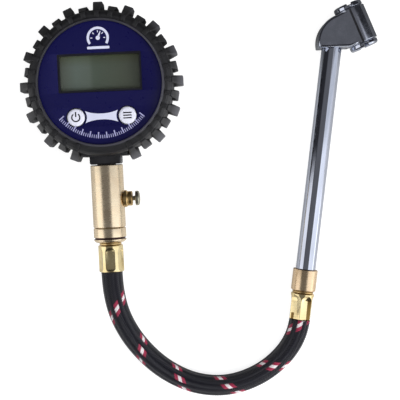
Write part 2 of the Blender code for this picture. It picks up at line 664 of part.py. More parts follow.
def barbs(start, end, count=3):
    """The outline of a hose barb, in mm: saw teeth between two heights."""
    low, high = 2.9, 3.4
    step = (end - start) / count
    points = []
    for index in range(count):
        points += [(high, start + index * step), (low, start + (index + 0.9) * step)]
    return points


def make_swivel():
    """A collar screws into the valve body and holds the hose's nipple, which is free to turn in it."""
    collar = [(4.9, 67.6), (6.2, 67.6), (6.2, 72.65), (7.95, 72.65), (8.25, 72.95), (8.25, 77.6)]
    collar += [(7.85, 77.8), (7.85, 78.2), (8.25, 78.4), (8.25, 78.9), (7.0, 80.0)]
    collar += [(3.4, 80.0), (3.4, 71.3), (4.9, 71.3)]
    turned("swivel_collar", in_metres(collar), MEDIUM, stem_frame(), BRASS)
    ring("swivel_seal", 3.6 * MM, 0.5 * MM, 68.15 * MM, stem_frame(), material=BLACK_RUBBER)


def in_swivel(swivel):
    """The stem's frame, seen from the empty on the swivel's axis."""
    return swivel.matrix_world.inverted() @ stem_frame()


def make_gauge_hose_end(swivel):
    place = in_swivel(swivel)
    nipple = [(1.6, 69.0), (4.6, 69.0), (4.6, 71.0), (3.1, 71.0), (3.1, 80.4), (5.6, 80.4), (5.6, 81.1)]
    nipple += [(2.9, 81.1), *barbs(82.0, 94.0), (1.6, 94.2)]
    turned("hose_nipple_gauge", in_metres(nipple), COARSE, place, BRASS, parent=swivel)
    make_ferrule("ferrule_gauge", FERRULE_RADIUS, FERRULE_START, FERRULE_END, place, swivel)


def make_ferrule(name, radius, start, end, matrix, parent):
    """A sleeve that is crimped around the hose's end on its nipple."""
    inner, chamfer = 3.8 * MM, 0.5 * MM
    outline = [(inner, start), (radius - chamfer, start), (radius, start + chamfer)]
    outline += [(radius, end - chamfer), (radius - chamfer, end), (inner, end)]
    turned(name, outline, MEDIUM, matrix, BRASS, parent=parent)


def smooth_route(points, samples=12):
    """A Catmull-Rom curve through the points, with its ends mirrored outwards."""
    first, last = 2 * points[0] - points[1], 2 * points[-1] - points[-2]
    padded = [first, *points, last]
    curve = []
    for a, b, c, d in zip(padded, padded[1:], padded[2:], padded[3:]):
        for index in range(samples):
            t = index / samples
            cubic = 2 * b + (c - a) * t + (2 * a - 5 * b + 4 * c - d) * t**2 + (3 * b - a - 3 * c + d) * t**3
            curve.append(cubic / 2)
    return [*curve, points[-1]]


def along_curve(curve, spacing, lead):
    """Points along the curve at about the spacing, with both of its ends and a point near each of them."""
    lengths = [0.0]
    for a, b in zip(curve, curve[1:]):
        lengths.append(lengths[-1] + (b - a).length)
    total = lengths[-1]
    count = round((total - 2 * lead) / spacing)
    inner = [lead + (total - 2 * lead) * number / count for number in range(count + 1)]
    chosen, index = [curve[0]], 0
    for target in inner:
        while lengths[index + 1] < target:
            index += 1
        share = (target - lengths[index]) / (lengths[index + 1] - lengths[index])
        chosen.append(curve[index].lerp(curve[index + 1], share))
    return [*chosen, curve[-1]]


def make_hose(swivel):
    route = smooth_route([Vector(point) * MM for point in HOSE_ROUTE_MM])
    curve = bpy.data.curves.new("hose", "CURVE")
    curve.dimensions = "3D"
    curve.bevel_depth = HOSE_RADIUS
    curve.bevel_resolution = 3
    curve.use_fill_caps = True
    tube = curve.splines.new("POLY")
    points = along_curve(route, HOSE_POINT_SPACING, HOSE_STRAIGHT_LEAD)
    tube.points.add(len(points) - 1)
    for point, place in zip(tube.points, points):
        point.co = (*place, 1)
    put(linked("hose", curve, PARTS), swivel.matrix_world.inverted(), BRAID, swivel)


# ---------------------------------------------------------------- the chuck


def make_tube_and_coupling(chuck):
    """All of it lies on the tube's axis. Local +Z of the axis runs from the head down to the hose."""
    axis = pointing((0, -1, 0))
    tube_end = 117.6 * MM
    sleeve("chuck_tube", TUBE_BORE_RADIUS, TUBE_RADIUS, -TUBE_IN_HEAD, tube_end, axis, MEDIUM,
           material=CHROME, parent=chuck)
    sleeve("tube_washer", 2.5 * MM, 5.0 * MM, tube_end + GAP, 118.9 * MM, axis,
           material=BLACK_RUBBER, parent=chuck)
    bore = TUBE_RADIUS + GAP
    step, thread = 119.2 * MM, 4.7 * MM
    outline = [(bore, COUPLING_START + 0.7 * MM), (bore + 0.6 * MM, COUPLING_START)]
    outline += [(COUPLING_RADIUS - 0.2 * MM, COUPLING_START), (COUPLING_RADIUS, COUPLING_START + 0.2 * MM)]
    outline += [(COUPLING_RADIUS, COUPLING_END - 0.6 * MM), (COUPLING_RADIUS - 0.6 * MM, COUPLING_END)]
    outline += [(thread, COUPLING_END), (thread, step), (bore, step)]
    turned("coupling", outline, MEDIUM, axis, BRASS, parent=chuck)
    nipple = [(1.6, 119.5), (4.4, 119.5), (4.4, 124.3), (5.4, 124.3), (5.4, 124.9), (2.9, 124.9)]
    nipple += [*barbs(125.8, 137.8), (1.6, 138.0)]
    turned("hose_nipple_chuck", in_metres(nipple), COARSE, axis, BRASS, parent=chuck)
    make_ferrule("ferrule_chuck", CHUCK_FERRULE_RADIUS, CHUCK_FERRULE_START, CHUCK_FERRULE_END, axis, chuck)


def head_outline():
    """The flat side of the head, in a frame on the port axis: X across it, Y towards the reverse port."""
    centre, radius = Vector((-8.6, -5.8)) * MM, 14.55 * MM
    first, last, steps = math.radians(168.5), math.radians(90), 12
    angles = [first + (last - first) * index / steps for index in range(steps + 1)]
    back = [(centre.x + radius * math.cos(a), centre.y + radius * math.sin(a)) for a in angles]
    end = centre.y + radius
    return [*back, (0, end), (0, -end), (-BOSS_RADIUS, -end)]


def make_head(chuck, head_frame):
    """A casting: a thick slab with a round back, joined to the boss that holds both ports."""
    flat = Matrix.Identity(4)
    head = slab("chuck_head", head_outline(), SLAB_THICKNESS, flat, CHROME, parent=head_frame)
    along = pointing((0, 1, 0))
    boss = rod("head_boss", BOSS_RADIUS, -BOSS_HALF_LENGTH, BOSS_HALF_LENGTH, along, FINE,
               collection=CUTTERS, parent=head_frame)
    combine(head, boss, "UNION")
    for side, name in ((1, "reverse"), (-1, "forward")):
        port = pointing((0, side, 0))
        cut_rod(head, f"thread_{name}", 6.4 * MM, 4.7 * MM, 12 * MM, port, MEDIUM, head_frame)
        cut_rod(head, f"chamber_{name}", 3.7 * MM, 0.6 * MM, 5.5 * MM, port, COARSE, head_frame)
    cut_rod(head, "cross_passage", 1.2 * MM, -2 * MM, 2 * MM, along, SMALL, head_frame)
    up_the_tube = pointing((0, 1, 0))
    cut_rod(head, "tube_socket", TUBE_RADIUS + GAP, -10 * MM, TUBE_IN_HEAD + GAP, up_the_tube, MEDIUM, chuck)
    passage_start = Vector((0, TUBE_IN_HEAD - 1 * MM, 0))
    to_centre = HEAD_CENTRE - passage_start
    passage = pointing(to_centre, passage_start)
    cut_rod(head, "air_passage", 1.3 * MM, 0, to_centre.length - 2 * MM, passage, SMALL, chuck)


def make_port(name, side, head_frame):
    """The screwed collar, the washer, and the depressor with its spring. The depressor moves along the port."""
    port = pointing((0, side, 0))
    collar = [(4.35, 7.2), (6.1, 7.2), (6.1, 9.35), (7.4, 9.35), (7.4, 11.1), (6.7, 11.9)]
    collar = in_metres([*collar, (4.85, 11.9), (4.35, 11.4)])
    ring_nut = turned(f"port_collar_{name}", collar, MEDIUM, port, CHROME, parent=head_frame)
    slot_low, slot_high = Vector((-1.3, 10.2, -9)) * MM, Vector((1.3, 13, 9)) * MM
    slot = box(f"collar_slot_{name}", slot_low, slot_high, collection=CUTTERS, parent=head_frame)
    if side < 0:
        slot.matrix_local = Matrix.Rotation(math.pi, 4, "Z") @ slot.matrix_local
    combine(ring_nut, slot)
    sleeve(f"port_washer_{name}", 2.3 * MM, 6.1 * MM, 5.0 * MM, 6.9 * MM, port, MEDIUM,
           material=BLACK_RUBBER, parent=head_frame)
    pin = [(0, 3.4), (3.3, 3.4), (3.3, 4.4), (1.1, 4.4), (1.1, 6.7), (0.7, 7.2), (0, 7.2)]
    turned(f"depressor_{name}", in_metres(pin), COARSE, port, BRASS, parent=head_frame)
    coil_spring(f"depressor_spring_{name}", 2.4 * MM, 0.2 * MM, 0.9 * MM, 3.1 * MM, 2, port, head_frame)


# ---------------------------------------------------------------- the whole


def make_gauge():
    make_boot()
    make_case_back()
    make_case_front()
    make_case_screws()
    make_battery_cover()
    make_overlay()
    make_display()
    make_board()
    make_key("on", -KEY_X)
    make_key("func", KEY_X)
    make_batteries()
    make_socket()
    make_valve_body()
    make_bleed_valve()
    make_swivel()


def make_hose_and_chuck():
    swivel = frame("swivel_axis", (0, -COLLAR_END, STEM_Z))
    bpy.context.view_layer.update()
    make_gauge_hose_end(swivel)
    make_hose(swivel)
    lean = Matrix.Rotation(-CHUCK_LEAN, 4, "Z")
    chuck = frame("chuck_frame", CHUCK_ORIGIN - swivel.matrix_world.translation, lean, swivel)
    head_frame = frame("head_frame", HEAD_CENTRE, Matrix.Rotation(PORT_ANGLE, 4, "Z"), chuck)
    make_tube_and_coupling(chuck)
    make_head(chuck, head_frame)
    make_port("forward", -1, head_frame)
    make_port("reverse", 1, head_frame)


make_gauge()
make_hose_and_chuck()
bpy.context.view_layer.update()
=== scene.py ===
"""The looks of a digital tyre pressure gauge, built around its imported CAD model.

Lengths in outlines and place lists are in mm, and in the scene in metres. +Z points out of the dial, the stem
leaves it towards -Y, and the gauge lies on the plane z = 0.
"""

import math

import bmesh
import bpy
import numpy as np
from mathutils import Matrix, Vector


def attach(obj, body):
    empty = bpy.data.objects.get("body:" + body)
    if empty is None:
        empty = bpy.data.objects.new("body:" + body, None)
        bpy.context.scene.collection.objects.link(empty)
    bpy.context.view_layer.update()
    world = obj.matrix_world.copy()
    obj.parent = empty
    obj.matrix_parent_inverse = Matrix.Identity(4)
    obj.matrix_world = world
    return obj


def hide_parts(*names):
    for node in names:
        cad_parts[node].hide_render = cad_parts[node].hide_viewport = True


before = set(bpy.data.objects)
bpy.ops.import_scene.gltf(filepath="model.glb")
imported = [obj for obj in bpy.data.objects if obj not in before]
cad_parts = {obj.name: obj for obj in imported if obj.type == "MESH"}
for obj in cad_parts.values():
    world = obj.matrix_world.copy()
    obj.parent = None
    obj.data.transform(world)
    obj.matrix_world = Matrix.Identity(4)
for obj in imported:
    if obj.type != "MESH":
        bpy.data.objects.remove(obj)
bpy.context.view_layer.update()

MM = 0.001
TINY = 1e-6
SHARP = 35.0  # degrees between two faces, above which the edge between them is not smoothed
STEM_Z = 15.5  # the height of the stem, and the middle of the case's depth
CHUCK_PLACE = (117.4, 12.05, 7.9)
CHUCK_LEAN = math.radians(9.2)
HEAD_PLACE = (10.97, 14.19, 0.0)
PORT_ANGLE = math.radians(30)

# ---------------------------------------------------------------- camera


def add_camera():
    """The camera looks almost straight down, with a little roll."""
    place, aim = Vector((47.4, -41.9, 542.0)) * MM, Vector((46.5, -61.3, 0.0)) * MM
    image_up = Vector((0.0471, 0.9989, 0.0))
    forward = (aim - place).normalized()
    right = forward.cross(image_up).normalized()
    turn = Matrix((right, right.cross(forward), -forward)).transposed()
    data = bpy.data.cameras.new("camera")
    data.sensor_width = 36.0
    data.lens = 93.24
    camera = bpy.data.objects.new("camera", data)
    camera.matrix_world = Matrix.Translation(place) @ turn.to_4x4()
    bpy.context.scene.collection.objects.link(camera)
    bpy.context.scene.camera = camera


add_camera()

# ---------------------------------------------------------------- places


def move(x, y, z):
    return Matrix.Translation(Vector((x, y, z)) * MM)


def pointing(direction):
    """The turn that takes local +Z to the direction."""
    return Vector(direction).to_track_quat("Z", "Y").to_matrix().to_4x4()


STEM = move(0, 0, STEM_Z) @ pointing((0, -1, 0))
BLEED = move(0, -58.2, STEM_Z) @ pointing((1, 0, 0))
CHUCK = move(*CHUCK_PLACE) @ Matrix.Rotation(-CHUCK_LEAN, 4, "Z")
TUBE = CHUCK @ pointing((0, -1, 0))
HEAD = CHUCK @ move(*HEAD_PLACE) @ Matrix.Rotation(PORT_ANGLE, 4, "Z")
UPRIGHT = Matrix.Identity(4)

# ---------------------------------------------------------------- node materials

# The sockets of a Mix node that are in use when it mixes colours.
MIX_FACTOR, MIX_FIRST, MIX_SECOND, MIX_RESULT = 0, 6, 7, 2
DIAL_REACH = 0.03  # metres from the dial's centre to where the painted light gradients across it end


class Look:
    """A material around one Principled shader. Its methods add nodes and return their outputs."""

    def __init__(self, name, **constants):
        self.material = bpy.data.materials.new(name)
        self.material.use_nodes = True
        self.tree = self.material.node_tree
        self.shader = self.tree.nodes["Principled BSDF"]
        for socket, value in constants.items():
            self.shader.inputs[socket.replace("_", " ")].default_value = value
        self.object_coordinates = self.node("ShaderNodeTexCoord").outputs["Object"]

    def node(self, kind, inputs=None, **settings):
        made = self.tree.nodes.new(kind)
        for name, value in settings.items():
            setattr(made, name, value)
        for name, value in (inputs or {}).items():
            if isinstance(value, bpy.types.NodeSocket):
                self.tree.links.new(value, made.inputs[name])
            else:
                made.inputs[name].default_value = value
        return made

    def scaled(self, x, y, z):
        """Object coordinates, scaled along each axis, in features per metre."""
        inputs = {"Vector": self.object_coordinates, "Scale": (x, y, z)}
        return self.node("ShaderNodeMapping", inputs).outputs["Vector"]

    def noise(self, scale, detail, roughness=0.55, vector=None):
        inputs = {"Vector": vector or self.object_coordinates, "Scale": scale, "Detail": detail}
        inputs["Roughness"] = roughness
        return self.node("ShaderNodeTexNoise", inputs).outputs["Fac"]

    def ramp(self, factor, *stops):
        """Colours at positions, given as (position, (r, g, b))."""
        made = self.node("ShaderNodeValToRGB", {"Fac": factor})
        elements = made.color_ramp.elements
        while len(elements) < len(stops):
            elements.new(0.5)
        for element, (position, colour) in zip(elements, stops):
            element.position = position
            element.color = (*colour, 1.0)
        return made.outputs["Color"]

    def remap(self, value, low, high, to_low, to_high):
        inputs = {"Value": value, "From Min": low, "From Max": high, "To Min": to_low, "To Max": to_high}
        return self.node("ShaderNodeMapRange", inputs).outputs["Result"]

    def blend(self, kind, first, second, factor=1.0):
        inputs = {MIX_FACTOR: factor, MIX_FIRST: first, MIX_SECOND: second}
        return self.node("ShaderNodeMix", inputs, data_type="RGBA", blend_type=kind).outputs[MIX_RESULT]

    def along(self, direction):
        """How far each point lies along a direction, in metres."""
        inputs = {0: self.object_coordinates, 1: direction}
        return self.node("ShaderNodeVectorMath", inputs, operation="DOT_PRODUCT").outputs["Value"]

    def set(self, socket, output):
        self.tree.links.new(output, self.shader.inputs[socket])
        return self

    def bump(self, height, distance, strength):
        """Distance is in mm."""
        inputs = {"Height": height, "Distance": distance * MM, "Strength": strength}
        return self.set("Normal", self.node("ShaderNodeBump", inputs).outputs["Normal"])


def turned_metal(name, light, dark, roughness, marks=1.0):
    """Metal off a lathe: fine rings about local Z, a slow change of tone, and small dull patches."""
    look = Look(name, Metallic=1.0)
    rings = look.noise(1.0, 2.0, 0.6, look.scaled(60, 60, 4200))  # 70 times finer along the axis than across it
    tone = look.noise(130.0, 4.0)
    look.set("Base Color", look.ramp(tone, (0.3, dark), (0.62, light)))
    spread = look.node("ShaderNodeMath", {0: rings, 1: tone}, operation="ADD").outputs["Value"]
    look.set("Roughness", look.remap(spread, 0.6, 1.4, roughness - 0.06, roughness + 0.09))
    look.bump(rings, 0.008 * marks, 0.6)
    return look.material


def moulded(name, light, dark, roughness, grain=2600.0, depth=0.02, **constants):
    """Moulded plastic or rubber: a fine grain with a slow change of tone and gloss."""
    look = Look(name, **constants)
    fine = look.noise(grain, 2.0, 0.7)
    slow = look.noise(90.0, 4.0)
    look.set("Base Color", look.ramp(slow, (0.35, dark), (0.65, light)))
    look.set("Roughness", look.remap(slow, 0.3, 0.7, roughness - 0.07, roughness + 0.07))
    look.bump(fine, depth, 0.7)
    return look.material


def boot_rubber():
    """Black rubber with pores. The bead and the lugs' tips are painted lighter, partly as dust and partly as a painted
    sheen, and more so towards +X and -Y, the painted lit side.
    """
    look = Look("boot_rubber", Specular_IOR_Level=0.8)
    pores, patches = look.noise(1500.0, 4.0, 0.7), look.noise(160.0, 5.0, 0.65)
    clean = look.ramp(patches, (0.35, (0.004, 0.004, 0.005)), (0.6, (0.008, 0.008, 0.009)), (0.8, (0.03, 0.03, 0.034)))
    flat = {0: look.scaled(1, 1, 0)}
    from_axis = look.node("ShaderNodeVectorMath", flat, operation="LENGTH").outputs["Value"]
    bead_radius, tip_radius = 0.030, 0.042
    outwards = look.remap(from_axis, bead_radius, tip_radius, 0.0, 1.0)
    # Grey on the bead and the lugs' tips: partly dust, partly a painted sheen.
    none, bead_dust_and_sheen, tip_dust_and_sheen = (0.0, 0.0, 0.0), (0.036, 0.035, 0.046), (0.055, 0.055, 0.062)
    dust_and_sheen_by_radius = look.ramp(outwards, (0.1, bead_dust_and_sheen), (0.17, none), (0.62, none), (0.9, tip_dust_and_sheen))
    # Painted light: that grey grows towards +X and -Y, the side the light comes from.
    painted_light_share = look.remap(look.along((0.8, -0.6, 0.0)), -DIAL_REACH, DIAL_REACH, 0.25, 1.15)
    dust_and_sheen = look.node("ShaderNodeVectorMath", {0: dust_and_sheen_by_radius, "Scale": painted_light_share}, operation="SCALE").outputs["Vector"]
    look.set("Base Color", look.blend("ADD", clean, dust_and_sheen))
    look.set("Roughness", look.remap(patches, 0.3, 0.7, 0.4, 0.6))
    look.bump(pores, 0.05, 0.6)
    return look.material


def dial_film_look():
    """Indigo film with a painted sheen that makes it a little lighter to the upper left, and a gloss that varies
    slightly.
    """
    look = Look("dial_film_indigo", Specular_IOR_Level=0.25)
    # Painted sheen: the film's colour grows lighter towards the upper left.
    painted_light_share = look.remap(look.along((-0.75, 0.55, 0.0)), -DIAL_REACH, DIAL_REACH, 0.0, 1.0)
    look.set("Base Color", look.ramp(painted_light_share, (0.0, (0.0012, 0.0008, 0.036)), (1.0, (0.0055, 0.0055, 0.056))))
    look.set("Roughness", look.remap(look.noise(300.0, 3.0), 0.3, 0.7, 0.26, 0.36))
    return look.material


def display_look():
    """The grey-green display: a painted reflection makes it lighter to the left and darker to the right. It is olive at
    the top and dim along the bottom.
    """
    look = Look("display_glass", Roughness=0.22, Specular_IOR_Level=0.3)
    split = look.node("ShaderNodeSeparateXYZ", {"Vector": look.object_coordinates}).outputs
    half_width, bottom, top = 0.02, -0.0036, 0.0138
    across = look.remap(split["X"], -half_width, half_width, 0.0, 1.0)
    up = look.remap(split["Y"], bottom, top, 0.0, 1.0)
    # Painted reflection: the glass is painted lighter to the left and darker to the right.
    body = look.ramp(across, (0.02, (0.0975, 0.111, 0.091)), (0.2, (0.121, 0.153, 0.13)), (0.36, (0.114, 0.14, 0.117)),
                     (0.42, (0.0806, 0.103, 0.078)), (0.75, (0.0754, 0.0884, 0.065)), (0.95, (0.065, 0.0728, 0.0546)))
    plain = (1.0, 1.0, 1.0)
    edge = look.ramp(up, (0.0, (0.5, 0.5, 0.42)), (0.12, plain), (0.7, plain), (1.0, (0.72, 0.7, 0.5)))
    look.set("Base Color", look.blend("MULTIPLY", body, edge))
    look.bump(look.noise(5000.0, 1.0), 0.004, 0.4)
    return look.material


def clear_look():
    """A clear pane. It is thin, so it is seen through and not bent."""
    look = Look("clear_pane", Base_Color=(0.02, 0.025, 0.022, 1.0), Alpha=0.12)
    look.set("Roughness", look.remap(look.noise(400.0, 2.0), 0.3, 0.7, 0.03, 0.07))
    return look.material


def chrome_look(name, roughness):
    """Chrome plate: a faint orange peel under the polish, and fine hazy wipe marks."""
    look = Look(name, Metallic=1.0)
    haze = look.noise(1.0, 4.0, 0.6, look.scaled(260, 260, 60))
    look.set("Base Color", look.ramp(haze, (0.3, (0.47, 0.50, 0.57)), (0.7, (0.57, 0.60, 0.69))))
    look.set("Roughness", look.remap(haze, 0.3, 0.75, roughness * 0.6, roughness * 1.5))
    look.bump(look.noise(420.0, 2.0), 0.02, 0.35)
    return look.material


def yarn(name, light, dark):
    """Textile yarn: fine fibres that run along the hose and vary in tone."""
    look = Look(name, Specular_IOR_Level=0.65, Sheen_Weight=0.08, Sheen_Roughness=0.4)
    fibres = look.noise(5200.0, 3.0, 0.7)
    look.set("Base Color", look.ramp(fibres, (0.3, dark), (0.68, light)))
    look.set("Roughness", look.remap(fibres, 0.3, 0.7, 0.3, 0.5))
    look.bump(fibres, 0.06, 0.8)
    return look.material


def board_look():
    """Green solder mask with paler tracks."""
    look = Look("board_mask", Roughness=0.35)
    inputs = {"Color1": (0.02, 0.12, 0.05, 1.0), "Color2": (0.018, 0.1, 0.045, 1.0), "Mortar": (0.06, 0.26, 0.1, 1.0)}
    inputs |= {"Vector": look.object_coordinates, "Scale": 260.0}
    look.set("Base Color", look.node("ShaderNodeTexBrick", inputs).outputs["Color"])
    look.bump(look.noise(900.0, 2.0), 0.02, 0.5)
    return look.material


BOOT = boot_rubber()
SEAL = moulded("seal_rubber", (0.02, 0.02, 0.02), (0.012, 0.012, 0.012), 0.5, 1800.0)
BLACK_PLASTIC = moulded("case_plastic", (0.008, 0.008, 0.013), (0.005, 0.005, 0.008), 0.42)
KEY_WHITE = moulded("key_plastic", (0.68, 0.69, 0.78), (0.62, 0.63, 0.73), 0.42, 3000.0, 0.012)
INK_WHITE = moulded("white_ink", (0.62, 0.64, 0.78), (0.55, 0.57, 0.71), 0.5, 4000.0, 0.006)
INK_LILAC = moulded("lilac_ink", (0.36, 0.36, 0.58), (0.3, 0.3, 0.5), 0.5, 4000.0, 0.006)
INK_BLACK = moulded("black_ink", (0.012, 0.012, 0.016), (0.008, 0.008, 0.011), 0.4, 4000.0, 0.006)
MILKY = moulded("light_guide", (0.8, 0.82, 0.78), (0.7, 0.72, 0.68), 0.5)
WRAP = moulded("cell_wrap", (0.06, 0.06, 0.07), (0.03, 0.03, 0.035), 0.3, 1200.0)
BLACK_METAL = moulded("black_oxide", (0.03, 0.03, 0.033), (0.016, 0.016, 0.018), 0.36, 900.0, 0.02, Metallic=0.55)
STEEL = turned_metal("zinc_steel", (0.62, 0.62, 0.64), (0.45, 0.45, 0.47), 0.3)
BRASS_SATIN = turned_metal("brass_satin", (0.93, 0.78, 0.55), (0.86, 0.69, 0.47), 0.25, 0.5)
BRASS_TAN = turned_metal("brass_tan", (0.84, 0.64, 0.42), (0.76, 0.56, 0.35), 0.25, 0.5)
BRASS_BRIGHT = turned_metal("brass_bright", (0.94, 0.79, 0.45), (0.84, 0.66, 0.33), 0.2, 0.5)
BRASS_DARK = turned_metal("brass_dark", (0.84, 0.62, 0.30), (0.62, 0.42, 0.17), 0.33)
TARNISH = turned_metal("brass_tarnish", (0.30, 0.19, 0.06), (0.19, 0.11, 0.035), 0.3)
PATINA = turned_metal("brass_patina", (0.16, 0.10, 0.085), (0.08, 0.045, 0.045), 0.4)
# Near-black material that paints shade into the chuck head's grooves.
GROOVE_SHADE = moulded("painted_groove_shade", (0.02, 0.02, 0.024), (0.008, 0.008, 0.01), 0.6, 900.0)
KNOB_METAL = turned_metal("brass_tarnished", (0.62, 0.60, 0.47), (0.46, 0.44, 0.33), 0.36)
CHROME = chrome_look("chrome_plate", 0.07)
CHROME_CAST = chrome_look("chrome_casting", 0.16)
DIAL = dial_film_look()
DISPLAY = display_look()
CLEAR = clear_look()
BOARD = board_look()
YARN_BLACK = yarn("yarn_black", (0.013, 0.013, 0.02), (0.002, 0.002, 0.004))
YARN_RED = yarn("yarn_red", (0.45, 0.035, 0.09), (0.10, 0.004, 0.018))
YARN_WHITE = yarn("yarn_white", (0.86, 0.84, 0.84), (0.5, 0.42, 0.45))

# ---------------------------------------------------------------- making pieces


def piece(obj, body, slot, *nodes):
    """Puts an object on its CAD body, in place of the CAD nodes that it stands for."""
    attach(obj, body)
    if nodes:
        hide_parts(*nodes)
    return obj


def smooth(mesh, sharp=SHARP):
    mesh.shade_smooth()
    mesh.set_sharp_from_angle(angle=math.radians(sharp))


def new_object(name, mesh, place, materials, sharp=SHARP):
    smooth(mesh, sharp)
    for material in materials:
        mesh.materials.append(material)
    obj = bpy.data.objects.new(name, mesh)
    bpy.context.scene.collection.objects.link(obj)
    obj.matrix_world = place
    return obj


def darken(obj, darkened, material):
    """Gives another material to the faces whose local centre passes a test."""
    obj.data.materials.append(material)
    for face in obj.data.polygons:
        if darkened(face.center):
            face.material_index = len(obj.data.materials) - 1


def mesh_of(name, points, faces):
    mesh = bpy.data.meshes.new(name)
    mesh.from_pydata([tuple(p) for p in points], [], [tuple(f) for f in faces])
    work = bmesh.new()
    work.from_mesh(mesh)
    bmesh.ops.recalc_face_normals(work, faces=work.faces)
    work.to_mesh(mesh)
    work.free()
    return mesh


def filleted(outline, radius, closed):
    """Rounds an outline's corners with short curves of about the radius. An open outline keeps its two ends."""
    share_of_edge, steps = 0.42, (0.0, 0.25, 0.5, 0.75, 1.0)
    points = [Vector(p) for p in outline]
    count, rounded = len(points), []
    for index, here in enumerate(points):
        if not closed and index in (0, count - 1):
            rounded.append(here)
            continue
        before, after = points[index - 1], points[(index + 1) % count]
        reach = [min(radius, share_of_edge * (other - here).length) for other in (before, after)]
        start = here + (before - here).normalized() * reach[0]
        end = here + (after - here).normalized() * reach[1]
        for step in steps:
            rounded.append(start * (1 - step) ** 2 + here * 2 * step * (1 - step) + end * step**2)
    return rounded


def polar(radius, angle, height):
    """A point in metres, from a radius and a height in mm."""
    return radius * math.cos(angle) * MM, radius * math.sin(angle) * MM, height * MM


def faces_between(rings, closed):
    """Faces between each ring of points and the next. A ring on the axis is one point, repeated."""
    faces = []
    for low, high in zip(rings, rings[1:] + (rings[:1] if closed else [])):
        for a in range(len(low)):
            b = (a + 1) % len(low)
            corners = list(dict.fromkeys((low[a], low[b], high[b], high[a])))
            if len(corners) > 2:
                faces.append(corners)
    return faces


def lathe(name, outline, place, material, segments, fillet=0.18):
    """Turns an outline of (radius, height) about local Z. It runs from axis to axis, or is a closed loop."""
    closed = outline[0][0] > 0
    points, rings = [], []
    for radius, height in filleted(outline, fillet, closed):
        if radius < TINY:
            rings.append([len(points)] * segments)
            points.append((0, 0, height * MM))
            continue
        rings.append(list(range(len(points), len(points) + segments)))
        points += [polar(radius, 2 * math.pi * index / segments, height) for index in range(segments)]
    return new_object(name, mesh_of(name, points, faces_between(rings, closed)), place, [material])


def circle(x, y, radius, count=96, start=0.0, end=2 * math.pi):
    """Points around a circle, or along an arc of one with both ends."""
    whole = abs(end - start - 2 * math.pi) < TINY
    steps = count if whole else count - 1
    angles = [start + (end - start) * index / steps for index in range(count)]
    return [(x + radius * math.cos(a), y + radius * math.sin(a)) for a in angles]


def rounded_box(x, y, width, height, radius):
    points, steps = [], 6
    for corner, (sx, sy) in enumerate(((1, 1), (-1, 1), (-1, -1), (1, -1))):
        centre = (x + sx * (width / 2 - radius), y + sy * (height / 2 - radius))
        start = corner * math.pi / 2
        points += circle(*centre, radius, steps, start, start + math.pi / 2)
    return points


def plate(name, loops, low, high, material, place=UPRIGHT, edge=0.0, rounds=1):
    """A flat piece between two heights. Loops inside other loops are holes."""
    curve = bpy.data.curves.new(name, "CURVE")
    curve.dimensions = "2D"
    curve.fill_mode = "BOTH"
    curve.extrude = (high - low) / 2 * MM - edge * MM
    curve.bevel_depth = edge * MM
    curve.offset = -edge * MM
    curve.bevel_resolution = rounds
    for loop in loops:
        spline = curve.splines.new("POLY")
        spline.points.add(len(loop) - 1)
        for point, (x, y) in zip(spline.points, loop):
            point.co = (x * MM, y * MM, 0, 1)
        spline.use_cyclic_u = True
    flat = bpy.data.objects.new(name, curve)
    bpy.context.scene.collection.objects.link(flat)
    mesh = bpy.data.meshes.new_from_object(flat.evaluated_get(bpy.context.evaluated_depsgraph_get()))
    bpy.data.objects.remove(flat)
    work = bmesh.new()
    work.from_mesh(mesh)
    bmesh.ops.remove_doubles(work, verts=work.verts, dist=TINY)
    bmesh.ops.recalc_face_normals(work, faces=work.faces)
    work.to_mesh(mesh)
    work.free()
    return new_object(name, mesh, place @ move(0, 0, (low + high) / 2), [material])


def block(name, low, high, place=UPRIGHT, bevel=0.0):
    """A box between two corners, for cutting or joining."""
    low, high = Vector(low) * MM, Vector(high) * MM
    work = bmesh.new()
    bmesh.ops.create_cube(work, size=1)
    bmesh.ops.scale(work, vec=high - low, verts=work.verts)
    bmesh.ops.translate(work, vec=(low + high) / 2, verts=work.verts)
    if bevel:
        bmesh.ops.bevel(work, geom=work.edges, offset=bevel * MM, segments=3, profile=0.5, affect="EDGES")
    mesh = bpy.data.meshes.new(name)
    work.to_mesh(mesh)
    work.free()
    return new_object(name, mesh, place, [])


def combine(obj, others, operation="DIFFERENCE"):
    """Cuts or joins other objects, and removes them."""
    group = bpy.data.collections.new("operands")
    for other in others:
        group.objects.link(other)
    modifier = obj.modifiers.new("combine", "BOOLEAN")
    modifier.operation, modifier.operand_type, modifier.collection = operation, "COLLECTION", group
    made_mesh(obj)
    for other in others:
        bpy.data.objects.remove(other)
    bpy.data.collections.remove(group)
    return obj


def made_mesh(obj):
    """Replaces an object's mesh and modifiers with the mesh that they make."""
    bpy.context.view_layer.update()
    mesh = bpy.data.meshes.new_from_object(obj.evaluated_get(bpy.context.evaluated_depsgraph_get()))
    obj.modifiers.clear()
    obj.data = mesh
    smooth(mesh)


def join(obj, others):
    """Adds the meshes of other objects to an object's own, and removes them."""
    work = bmesh.new()
    work.from_mesh(obj.data)
    back = obj.matrix_world.inverted()
    for other in others:
        mesh = other.data.copy()
        mesh.transform(back @ other.matrix_world)
        work.from_mesh(mesh)
        bpy.data.objects.remove(other)
    work.to_mesh(obj.data)
    work.free()
    smooth(obj.data)
    return obj


# ---------------------------------------------------------------- the hose

